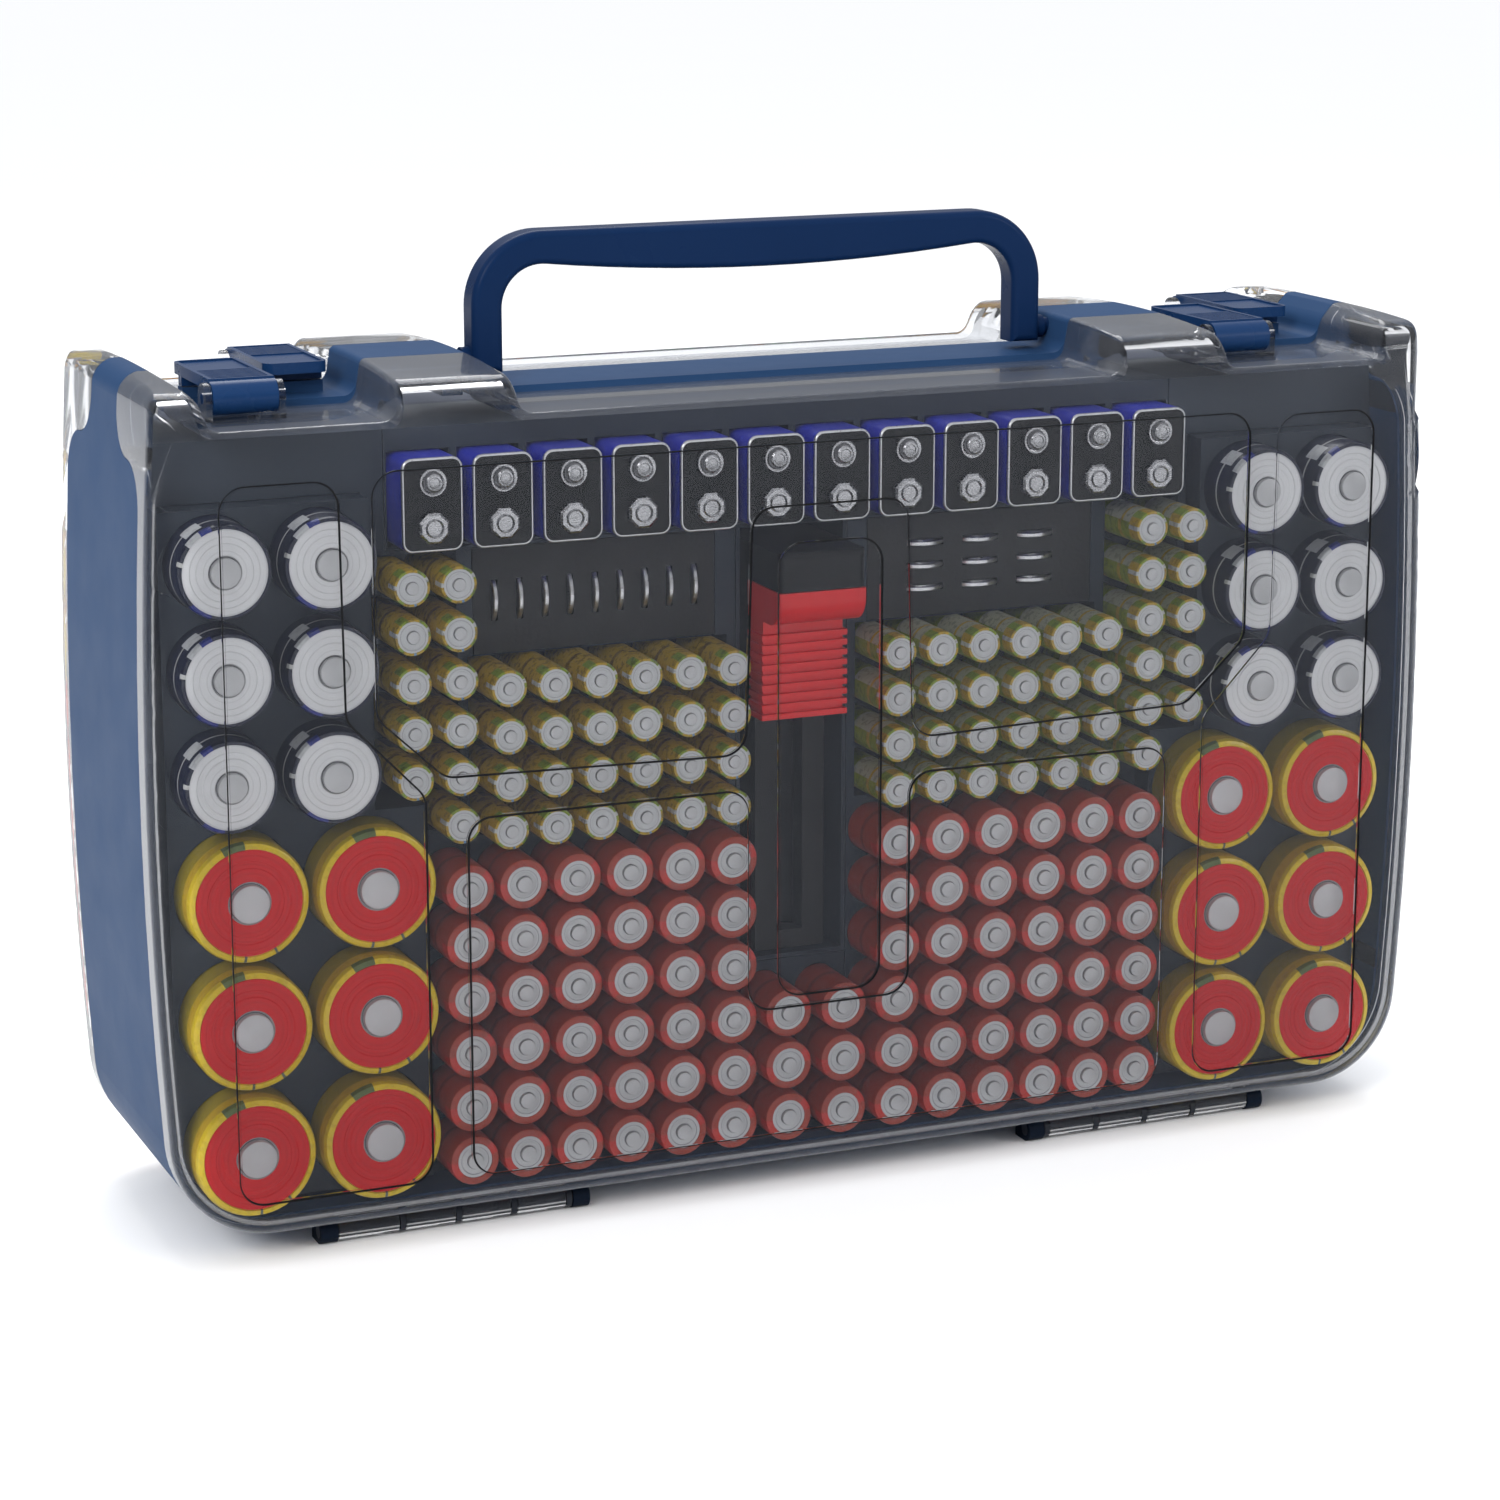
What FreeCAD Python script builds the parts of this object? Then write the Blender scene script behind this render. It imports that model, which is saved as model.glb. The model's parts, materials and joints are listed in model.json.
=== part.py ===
import FreeCAD, Part
import math
import os

# Double-sided battery storage case, standing upright on its hinge blocks.
# Millimetres. X runs to the right, the front looks towards -Y and Z is up.
# The origin lies on the standing surface, under the middle of the case.

V = FreeCAD.Vector
ALONG_X = V(1, 0, 0)
ALONG_Y = V(0, 1, 0)
ALONG_Z = V(0, 0, 1)
HALF = 0.5
FULL_TURN = 360.0
overrun = 3.0                   # how far every cut runs past what it cuts
reach = 320.0                   # half length of the long cutting solids

# Outer shape of the case
case_depth = 104.0
shell_bottom = 8.0              # the hinge blocks stand below this height
tower_top = 244.5
side_low = (193.8, 42.0)        # three points of the bowed side: half width and height
side_mid = (196.5, 130.0)
side_high = (192.8, 232.0)
bottom_corner_radius = 29.0
top_corner_radius = 7.4
edge_radius = 6.8               # rounding of the front and rear rims
crown_radius = 9.5              # larger rounding along the top
crown_drop = 2.0                # how far the top falls towards the front and rear
cover_wall = 2.0
body_wall = 2.5
cover_floor = 232.4             # recess floors of the covers
strip_top = 234.2               # recess floors of the body, a little higher

# Parting line between body and covers, seen from the end
seam_gap = 0.3
seam_half_top = 13.9
seam_half_low = 39.2
seam_top_z = 235.5
seam_low_z = 210.0

# Recesses along the top: distance of each wall from the middle, at the floor and at the top
handle_wall_low = 91.0
handle_wall_high = 93.3
latch_inner_wall_low = 126.5
latch_inner_wall_high = 124.5
latch_outer_wall_low = 177.3
latch_outer_wall_bend = (179.0, 239.5)   # the outer wall leans out above this point
latch_outer_wall_high = 183.6
latch_outer_bend_radius = 9.0
recess_floor_round = 4.0
recess_rim_round = 2.0

# Hinges along the bottom
hinge_axis_y = 39.0
hinge_axis_z = 3.6
hinge_lug_radius = 3.6
hinge_foot_depth = 6.0
hinge_outer_x = 150.5
hinge_inner_x = 70.5
hinge_lug_width = 5.0
hinge_rod_radius = 2.0
hinge_rib_radius = 3.3
hinge_rib_width = 1.6
hinge_rib_pitch = 16.6
hinge_rib_count = 4
knuckle_clearance = 0.08
knuckle_end_gap = 0.35
knuckle_radius = 3.3
knuckle_web = 2.4

# Latches
latch_outer_x = 162.3
latch_inner_x = 140.7
latch_width = 18.0
latch_pin_y = 29.6
latch_pin_z = 238.2
latch_pin_radius = 1.5
latch_pin_clearance = 0.06
latch_drum_radius = 4.6
latch_plate_top = 242.8
latch_plate_thick = 2.6
latch_tab_y = 8.3               # the free end reaches this far past the middle plane
latch_tab_corner = 3.0
latch_rim_width = 1.2
latch_rim_height = 0.5
latch_rib_count = 8
latch_rib_pitch = 2.0
latch_rib_width = 0.9
latch_rib_height = 0.4
latch_rib_start = 26.5
hook_depth = 3.2                # along the case depth
hook_drop = 2.6
hook_gap = 0.3
catch_depth = 5.0
ear_thick = 1.7
ear_gap = 0.25
ear_radius = 4.2
floor_seat = 0.6                # how far blocks and ears sink into their own wall
touch = 0.001                   # points nearer than this lie on the same surface

# Handle
handle_pivot_z = 240.4
handle_top = 275.8
handle_half_width = 88.5
handle_leg_width = 9.0
handle_depth = 10.0
handle_outer_radius = 21.0
handle_inner_radius = 12.0
handle_grip_low = 262.6         # lowest point of the grip's underside
handle_bulge_radius = 608.0
handle_edge_round = 2.0
handle_pin_radius = 2.5
handle_pin_clearance = 0.06
handle_pin_length = 7.5
handle_boss_depth = 18.0
handle_boss_width = 6.0
handle_collar_radius = 3.4
handle_collar_gap = 0.5         # between the collar and the recess wall
handle_foot_drop = 3.8          # the legs end this far below the pivot

# Raised outline grooves on the cover faces
groove_width = 0.9
groove_depth = 0.5
groove_corner = 7.0
outer_panel = ((175.5, 217.5), (143.3, 217.5), (142.6, 152.0), (120.6, 129.0), (120.6, 18.7), (175.5, 18.7))
upper_panel_half = ((133.6, 219.0), (133.6, 152.0), (114.5, 134.0), (26.0, 132.0), (24.0, 202.0))
lower_panel_half = ((108.6, 121.7), (24.9, 121.7), (24.9, 56.2))
lower_panel_bottom = 18.0
window_half_width = 15.7
window_low = 59.5
window_high = 191.0

# Racks inside
rack_inset = 2.8
rack_top = 226.0
rack_sheet = 2.0
rack_face_y = -24.0
rack_step_y = -32.0             # the face around the two largest sizes stands further out
rack_low_y = -12.0              # and around the thinnest it lies deeper
rack_floor = 1.5
rack_wall = 1.3
rack_rim = 1.6
rack_split = 0.3
pocket_clearance = 0.35
divider_front = 16.3
divider_thick = 1.8
well_half = 17.3
well_wall = 1.2
well_low = 62.0
well_high = 192.2

# Cells of the front side: radius, overall length, nub radius, nub height
d_size = (17.1, 61.5, 5.9, 1.6)
c_size = (13.1, 50.0, 4.4, 1.6)
aa_size = (7.25, 50.5, 2.75, 1.2)
aaa_size = (5.25, 44.5, 1.9, 1.0)
cell_bevel_share = 0.05
large_tip_y = -47.0
small_tip_y = -44.0
d_outer_x = 168.9
d_bottom_z = 29.9
d_pitch = 36.4
c_outer_x = 172.8
c_bottom_z = 135.4
c_pitch = 29.3
aa_inner_x = 25.9
aa_bottom_z = 19.5
aa_pitch = 15.85
aa_middle_x = 8.73
aaa_inner_x = 25.8
aaa_bottom_z = 114.3
aaa_pitch_x = 13.4
aaa_pitch_z = 13.55
aaa_outer_x = 106.9
aaa_outer_top_z = 185.2
nine_width = 17.5
nine_height = 26.0
nine_length = 46.4
nine_corner = 2.2
nine_pitch = 20.34
nine_count = 12
nine_centre_z = 206.5
nine_face_y = -36.8
nine_terminal_height = 2.3
nine_terminal_half_pitch = 6.5
nine_round_radius = 2.9
nine_octagon_radius = 4.1

# Coin cell panels
coin_panel_inner_x = 24.0
coin_panel_outer_x = 96.5
coin_panel_low_z = 161.0
coin_panel_high_z = 191.0
coin_panel_depth = 15.0
coin_radius = 8.0
coin_thick = 1.6
coin_inset = 5.8
coin_slot_clearance = 0.2
coin_row_count = 9
coin_row_pitch = 7.5
coin_grid_pitch_x = 17.8
coin_grid_pitch_z = 6.7

# Cells of the rear side: radius, overall length, nub radius, nub height
long_size = (10.3, 80.4, 3.2, 1.4)
medium_size = (7.1, 64.4, 2.6, 1.2)
short_size = (8.7, 27.8, 2.8, 1.2)
wide_size = (10.0, 36.0, 3.4, 1.3)
centre_size = (7.3, 24.5, 2.6, 1.0)
slim_size = (4.15, 43.0, 1.5, 0.9)
rear_aaa_size = (5.2, 44.4, 1.9, 1.0)
mini_size = (4.9, 29.6, 1.8, 0.9)
long_place = (141.3, 195.0, 23.2)       # centre from the middle, top row height, row pitch
medium_place = (148.0, 128.7, 17.3)
short_place = (79.4, 188.0, 20.5)
wide_place = (41.0, 182.8, 22.7)
slim_place = (88.0, 128.7, 11.3)
centre_top_z = 185.9
centre_pitch = 16.1
rear_aaa_x = (87.0, 39.2)
rear_aaa_rows = (48.5, 37.1)
rear_aaa_bottom_z = 25.8
rear_aaa_bottom_pitch = 48.3
mini_z = 203.9
mini_pitch = 32.1
rear_face_y = 36.0
rear_block_y = 24.0
rear_centre_y = 36.5

# Tester
tester_half_width = 13.3
tester_rail_half_width = 10.9
tester_front_y = -46.5
tester_neck_y = -32.4
tester_neck_half_width = 12.4
tester_rail_y = -23.0
tester_back_y = 12.5
tester_low_z = 64.5
tester_cap_low_z = 176.0
tester_top_z = 187.0
tester_head_low_z = 136.4
tester_jaw_low_z = 165.6
tester_gap = 0.3
tester_slot_half_width = 4.0
tester_slot_depth = 7.0
tester_slot_low_z = 70.0
tester_tongue_clearance = 0.25
tester_travel = 60.0
tester_corner = 2.0
tester_jaw_round = 7.5
grip_rib_count = 9
grip_rib_pitch = 2.9
grip_rib_height = 1.4
grip_rib_width = 1.6
contact_radius = 3.0
contact_height = 1.5
contact_clearance = 0.05
contact_y = -36.5


# Small building helpers
def box(x0, x1, y0, y1, z0, z1):
    return Part.makeBox(x1 - x0, y1 - y0, z1 - z0, V(x0, y0, z0))


def rod(radius, start, axis, length):
    return Part.makeCylinder(radius, length, start, axis)


def rod_x(radius, x0, x1, y, z):
    return rod(radius, V(x0, y, z), ALONG_X, x1 - x0)


def rod_y(radius, y0, y1, x, z):
    return rod(radius, V(x, y0, z), ALONG_Y, y1 - y0)


def mirror_x(shape):
    return shape.mirror(V(0, 0, 0), ALONG_X)


def mirror_y(shape):
    return shape.mirror(V(0, 0, 0), ALONG_Y)


def both_sides(shape):
    return [shape, mirror_x(shape)]


def one_solid(shape):
    """The largest solid of a boolean result, with split faces merged."""
    solids = sorted(shape.removeSplitter().Solids, key=lambda solid: solid.Volume)
    return solids[-1]


def arc(centre, radius, start, end):
    """Arc in the XZ plane between two angles in radians, through their mean."""
    middle = (start + end) * HALF
    points = [V(centre[0] + radius * math.cos(a), 0, centre[1] + radius * math.sin(a))
              for a in (start, middle, end)]
    return Part.Arc(*points).toShape()


def rounded_wire(corners, radii):
    """Closed XZ outline whose corners are arcs tangent to both neighbouring lines."""
    count = len(corners)
    ends = []
    edges = []
    for i in range(count):
        here = V(corners[i][0], 0, corners[i][1])
        before = V(corners[i - 1][0], 0, corners[i - 1][1]) - here
        after = V(corners[(i + 1) % count][0], 0, corners[(i + 1) % count][1]) - here
        before.normalize()
        after.normalize()
        if radii[i] == 0:
            ends.append((here, here))
            continue
        half = before.getAngle(after) * HALF
        back = radii[i] / math.tan(half)
        inward = before + after
        inward.normalize()
        centre = here + inward * (radii[i] / math.sin(half))
        start, end = here + before * back, here + after * back
        edges.append(Part.Arc(start, centre - inward * radii[i], end).toShape())
        ends.append((start, end))
    for i in range(count):
        start, end = ends[i - 1][1], ends[i][0]
        if start.distanceToPoint(end) > 0:
            edges.append(Part.makeLine(start, end))
    return Part.Wire(Part.__sortEdges__(edges))


def prism_y(wire, y0, y1):
    solid = Part.Face(wire).extrude(V(0, y1 - y0, 0))
    solid.translate(V(0, y0, 0))
    return solid


# Outer shape: outline of the case, its crown, its rounded block and its recesses
def side_circle():
    """Centre and radius of the circle through the three points of the side."""
    (x1, z1), (x2, z2), (x3, z3) = side_low, side_mid, side_high
    d = 2 * (x1 * (z2 - z3) + x2 * (z3 - z1) + x3 * (z1 - z2))
    s1, s2, s3 = x1 * x1 + z1 * z1, x2 * x2 + z2 * z2, x3 * x3 + z3 * z3
    cx = (s1 * (z2 - z3) + s2 * (z3 - z1) + s3 * (z1 - z2)) / d
    cz = (s1 * (x3 - x2) + s2 * (x1 - x3) + s3 * (x2 - x1)) / d
    return (cx, cz), math.hypot(x2 - cx, z2 - cz)


def corner_centre(z, radius):
    """Centre of a corner circle at height z that touches the side circle inside."""
    (cx, cz), side_radius = side_circle()
    return (cx + math.sqrt((side_radius - radius) ** 2 - (z - cz) ** 2), z)


def outline(inset):
    (cx, cz), side_radius = side_circle()
    low = corner_centre(shell_bottom + bottom_corner_radius, bottom_corner_radius)
    high = corner_centre(tower_top - top_corner_radius, top_corner_radius)
    low_angle = math.atan2(low[1] - cz, low[0] - cx)
    high_angle = math.atan2(high[1] - cz, high[0] - cx)
    right = [
        arc(low, bottom_corner_radius - inset, -math.pi * HALF, low_angle),
        arc((cx, cz), side_radius - inset, low_angle, high_angle),
        arc(high, top_corner_radius - inset, high_angle, math.pi * HALF),
    ]
    bottom_z, top_z = shell_bottom + inset, tower_top - inset
    lines = [
        Part.makeLine(V(-low[0], 0, bottom_z), V(low[0], 0, bottom_z)),
        Part.makeLine(V(-high[0], 0, top_z), V(high[0], 0, top_z)),
    ]
    return Part.Wire(Part.__sortEdges__(right + [mirror_x(edge) for edge in right] + lines))


def outline_prism(inset, y0, y1):
    return prism_y(outline(inset), y0, y1)


def crown(inset):
    """Long block with the bowed top and rounded shoulders of the case, seen from its end."""
    half = case_depth * HALF - inset
    shoulder = case_depth * HALF - edge_radius
    bow = shoulder * shoulder / (2 * crown_drop) - inset
    radius = crown_radius - inset
    bow_z = tower_top - inset - bow
    centre = (half - radius, bow_z + math.sqrt((bow - radius) ** 2 - (half - radius) ** 2))
    lean = math.atan2(centre[1] - bow_z, centre[0])
    side = [
        Part.makeLine(V(half, 0, -reach), V(half, 0, centre[1])),
        arc(centre, radius, 0, lean),
    ]
    middle = [
        arc((0, bow_z), bow, lean, math.pi - lean),
        Part.makeLine(V(-half, 0, -reach), V(half, 0, -reach)),
    ]
    edges = side + [mirror_x(edge) for edge in side] + middle
    block = prism_y(Part.Wire(Part.__sortEdges__(edges)), -reach, reach)
    block.rotate(V(0, 0, 0), ALONG_Z, FULL_TURN / 4)
    return block


def wall_x(low, high, z):
    """Where a recess wall, given at the cover's floor and at the top, stands at height z."""
    return low + (high - low) * (z - cover_floor) / (tower_top - cover_floor)


def recess(inset, floor_z, left, right, bend):
    """Channel through the depth between two leaning walls, rounded at its floor."""
    top, floor = tower_top + overrun, floor_z - inset
    corners = [(wall_x(left[0], left[1], top) - inset, top), (wall_x(left[0], left[1], floor_z) - inset, floor)]
    radii = [0, recess_floor_round]
    if bend:
        corners += [(wall_x(right[0], bend[0], floor_z) + inset, floor), (bend[0] + inset, bend[1])]
        slope = (right[1] - bend[0]) / (tower_top - bend[1])
        corners.append((bend[0] + inset + slope * (top - bend[1]), top))
        radii += [recess_floor_round, latch_outer_bend_radius, 0]
    else:
        corners += [(wall_x(right[0], right[1], floor_z) + inset, floor),
                    (wall_x(right[0], right[1], top) + inset, top)]
        radii += [recess_floor_round, 0]
    return prism_y(rounded_wire(corners, radii), -reach, reach)


def recesses(inset, floor_z):
    latch = recess(inset, floor_z, (latch_inner_wall_low, latch_inner_wall_high),
                   (latch_outer_wall_low, latch_outer_wall_high), latch_outer_wall_bend)
    handle = recess(inset, floor_z, (-handle_wall_low, -handle_wall_high), (handle_wall_low, handle_wall_high), None)
    return both_sides(latch) + [handle]


def shared_edges(shape, first, second):
    """Edges of shape that lie on the surfaces of both other solids."""
    found = []
    for edge in shape.Edges:
        middle = Part.Vertex(edge.valueAt((edge.FirstParameter + edge.LastParameter) * HALF))
        near = [middle.distToShape(other.Shells[0])[0] for other in (first, second)]
        if max(near) < touch:
            found.append(edge)
    return found


def case_form(inset, floor_z):
    """Whole case as one rounded block with its recesses, pulled in by inset."""
    half = case_depth * HALF - inset
    block = outline_prism(inset, -half, half)
    rims = [edge for edge in block.Edges
            if edge.BoundBox.YLength < touch and abs(abs(edge.BoundBox.YMin) - half) < touch]
    block = block.makeFillet(edge_radius - inset, rims)
    block = block.common(crown(inset)).removeSplitter()
    channels = recesses(inset, floor_z)
    cut = block.cut(channels).removeSplitter()
    if inset > 0:
        return cut
    for channel in channels:
        cut = cut.makeFillet(recess_rim_round, shared_edges(cut, block, channel))
    return cut


def seam_radius():
    dy = seam_half_low - seam_half_top
    dz = seam_top_z - seam_low_z
    return (dy * dy + dz * dz) / (4 * dy), math.atan2(dz * HALF, (dz * dz - dy * dy) / (4 * dy))


def seam_edges(grow):
    """Parting line at the front as edges in the YZ plane, from high to low."""
    radius, turn = seam_radius()
    top_y, low_y = -seam_half_top - grow, -seam_half_low - grow

    def upper(a):
        return V(0, -seam_half_top - radius + (radius - grow) * math.cos(a),
                 seam_top_z - (radius - grow) * math.sin(a))

    def lower(a):
        return V(0, -seam_half_low + radius - (radius + grow) * math.cos(a),
                 seam_low_z + (radius + grow) * math.sin(a))

    return [
        Part.makeLine(V(0, top_y, reach), V(0, top_y, seam_top_z)),
        Part.Arc(V(0, top_y, seam_top_z), upper(turn * HALF), upper(turn)).toShape(),
        Part.Arc(lower(turn), lower(turn * HALF), V(0, low_y, seam_low_z)).toShape(),
        Part.makeLine(V(0, low_y, seam_low_z), V(0, low_y, -reach)),
    ]


def across_x(edges):
    face = Part.Face(Part.Wire(Part.__sortEdges__(edges)))
    solid = face.extrude(V(2 * reach, 0, 0))
    solid.translate(V(-reach, 0, 0))
    return solid


def body_band():
    front = seam_edges(0)
    rear = [mirror_y(edge) for edge in front]
    ends = [
        Part.makeLine(V(0, -seam_half_top, reach), V(0, seam_half_top, reach)),
        Part.makeLine(V(0, -seam_half_low, -reach), V(0, seam_half_low, -reach)),
    ]
    return across_x(front + rear + ends)


def front_side():
    edges = seam_edges(seam_gap)
    top_y, low_y = -seam_half_top - seam_gap, -seam_half_low - seam_gap
    edges += [
        Part.makeLine(V(0, top_y, reach), V(0, -reach, reach)),
        Part.makeLine(V(0, -reach, reach), V(0, -reach, -reach)),
        Part.makeLine(V(0, -reach, -reach), V(0, low_y, -reach)),
    ]
    return across_x(edges)


# Hinges
def hinge_spans():
    """The clear knuckle spans of one hinge, between the ribs of its rod."""
    first = hinge_inner_x + hinge_lug_width
    ribs = rib_places()
    spans = []
    for left, right in zip(ribs, ribs[1:] + [hinge_outer_x - hinge_lug_width + hinge_rib_width]):
        spans.append((left + hinge_rib_width + knuckle_end_gap, right - knuckle_end_gap))
    spans[-1] = (spans[-1][0], hinge_outer_x - hinge_lug_width - knuckle_end_gap)
    return [span for span in spans if span[0] > first]


def rib_places():
    first = hinge_inner_x + hinge_lug_width + knuckle_end_gap
    return [first + i * hinge_rib_pitch for i in range(hinge_rib_count)]


def hinge_rod():
    rods = rod_x(hinge_rod_radius, hinge_inner_x, hinge_outer_x, -hinge_axis_y, hinge_axis_z)
    ribs = [rod_x(hinge_rib_radius, x, x + hinge_rib_width, -hinge_axis_y, hinge_axis_z)
            for x in rib_places()]
    return one_solid(rods.fuse(ribs))


def hinge_lugs():
    """End blocks of one front hinge: round about the axis, flat below the body."""
    lugs = []
    for x in (hinge_inner_x, hinge_outer_x - hinge_lug_width):
        end = x + hinge_lug_width
        boss = rod_x(hinge_lug_radius, x, end, -hinge_axis_y, hinge_axis_z)
        foot = box(x, end, -hinge_axis_y, -hinge_axis_y + hinge_foot_depth, 0, shell_bottom + floor_seat)
        lugs.append(boss.fuse(foot))
    return lugs


def knuckles():
    parts = []
    for x0, x1 in hinge_spans():
        barrel = rod_x(knuckle_radius, x0, x1, -hinge_axis_y, hinge_axis_z)
        web = box(x0, x1, -hinge_axis_y - knuckle_radius, -hinge_axis_y - knuckle_radius + knuckle_web,
                  hinge_axis_z, shell_bottom + floor_seat)
        parts.append(barrel.fuse(web))
    return parts


# Covers
def grooves():
    """Outline grooves in the outer face of the front cover."""
    face_y = -case_depth * HALF
    upper = list(upper_panel_half) + [(-x, z) for x, z in reversed(upper_panel_half)]
    bottom = [(lower_panel_half[0][0], lower_panel_bottom), (-lower_panel_half[0][0], lower_panel_bottom)]
    lower = [(-x, z) for x, z in lower_panel_half] + [(x, z) for x, z in reversed(lower_panel_half)] + bottom
    window = [(-window_half_width, window_low), (window_half_width, window_low),
              (window_half_width, window_high), (-window_half_width, window_high)]
    panels = [outer_panel, [(-x, z) for x, z in outer_panel], upper, lower, window]
    cuts = []
    for corners in panels:
        wire = rounded_wire(corners, [groove_corner] * len(corners))
        outside = wire.makeOffset2D(groove_width * HALF)
        inside = wire.makeOffset2D(-groove_width * HALF)
        y0, y1 = face_y - overrun, face_y + groove_depth
        cuts.append(prism_y(outside, y0, y1).cut(prism_y(inside, y0 - overrun, y1 + overrun)))
    return cuts


def latch_ears(latch_x):
    ears = []
    for side in (-1, 1):
        near = latch_x + side * (latch_width * HALF + ear_gap)
        far = near + side * ear_thick
        x0, x1 = min(near, far), max(near, far)
        round_part = rod_x(ear_radius, x0, x1, -latch_pin_y, latch_pin_z)
        foot = box(x0, x1, -latch_pin_y - ear_radius, -latch_pin_y + ear_radius,
                   cover_floor - floor_seat, latch_pin_z)
        ears.append(round_part.fuse(foot))
    return ears


def front_cover():
    shell = case_form(0, cover_floor).cut(case_form(cover_wall, cover_floor))
    shell = shell.common(front_side())
    shell = one_solid(shell)
    shell = shell.cut(grooves())
    added = knuckles() + [mirror_x(part) for part in knuckles()]
    added += latch_ears(-latch_outer_x) + latch_ears(latch_inner_x)
    shell = shell.fuse(added)
    bore = rod_x(hinge_rod_radius + knuckle_clearance, -reach, reach, -hinge_axis_y, hinge_axis_z)
    pins = [rod_x(latch_pin_radius, x - latch_width, x + latch_width, -latch_pin_y, latch_pin_z)
            for x in (-latch_outer_x, latch_inner_x)]
    return one_solid(shell.cut([bore] + pins))


def turned_half(shape):
    """Copy for the rear: the case looks the same turned half round."""
    copy = shape.copy()
    copy.rotate(V(0, 0, 0), ALONG_Z, FULL_TURN * HALF)
    return copy


# Body
def handle_bosses():
    boss = box(handle_wall_high, handle_wall_high + handle_boss_width,
               -handle_boss_depth * HALF, handle_boss_depth * HALF,
               strip_top - body_wall, tower_top - body_wall)
    return both_sides(boss)


def catches():
    """Blocks on the body that the latch hooks sit on."""
    hook_low = latch_plate_top - latch_plate_thick - hook_drop
    blocks = []
    for x in (latch_outer_x, latch_inner_x):
        block = box(x - latch_width * HALF, x + latch_width * HALF, -catch_depth * HALF,
                    catch_depth * HALF, strip_top - floor_seat, hook_low - hook_gap)
        blocks += both_sides(block)
    return blocks


def case_frame():
    ring = case_form(0, strip_top).cut(case_form(body_wall, strip_top))
    ring = one_solid(ring.common(body_band()))
    lugs = hinge_lugs() + [mirror_x(lug) for lug in hinge_lugs()]
    lugs += [mirror_y(lug) for lug in lugs]
    ring = ring.fuse(lugs + handle_bosses() + catches())
    holes = [rod_x(hinge_rod_radius, -reach, reach, side * hinge_axis_y, hinge_axis_z) for side in (-1, 1)]
    pin_reach = handle_half_width + handle_pin_length + rack_split
    holes.append(rod_x(handle_pin_radius + handle_pin_clearance, -pin_reach, pin_reach, 0, handle_pivot_z))
    return one_solid(ring.cut(holes))


def divider_panel():
    panel = outline_prism(body_wall, divider_front, divider_front + divider_thick)
    return panel.common(box(-reach, reach, -reach, reach, 0, rack_top))


# Latches, built at their place on the front cover
def latch(x):
    x0, x1 = x - latch_width * HALF, x + latch_width * HALF
    drum = rod_x(latch_drum_radius, x0, x1, -latch_pin_y, latch_pin_z)
    under = latch_plate_top - latch_plate_thick
    plate = box(x0, x1, -latch_pin_y, latch_tab_y, under, latch_plate_top)
    corners = [edge for edge in plate.Edges
               if edge.BoundBox.ZLength > latch_plate_thick * HALF and edge.BoundBox.YMin > 0]
    plate = plate.makeFillet(latch_tab_corner, corners)
    rim_top = latch_plate_top + latch_rim_height
    rim = box(x0, x1, -latch_pin_y, latch_tab_y, latch_plate_top, rim_top)
    rim_corners = [edge for edge in rim.Edges
                   if edge.BoundBox.ZLength > latch_rim_height * HALF and edge.BoundBox.YMin > 0]
    rim = rim.makeFillet(latch_tab_corner, rim_corners)
    rim = rim.cut(box(x0 + latch_rim_width, x1 - latch_rim_width, -latch_pin_y + latch_rim_width,
                      latch_tab_y - latch_rim_width, latch_plate_top, rim_top + overrun))
    ribs = []
    for i in range(latch_rib_count):
        y = -latch_rib_start + i * latch_rib_pitch
        ribs.append(box(x0 + latch_rim_width, x1 - latch_rim_width, y, y + latch_rib_width,
                        latch_plate_top - floor_seat, latch_plate_top + latch_rib_height))
    hook = box(x0, x1, -hook_depth * HALF, hook_depth * HALF, under - hook_drop, under)
    solid = drum.fuse([plate, rim, hook] + ribs)
    bore = rod_x(latch_pin_radius + latch_pin_clearance, x0 - overrun, x1 + overrun, -latch_pin_y, latch_pin_z)
    return one_solid(solid.cut(bore))


def latch_pin(x):
    half = latch_width * HALF + ear_gap + ear_thick
    return rod_x(latch_pin_radius, x - half, x + half, -latch_pin_y, latch_pin_z)


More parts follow.
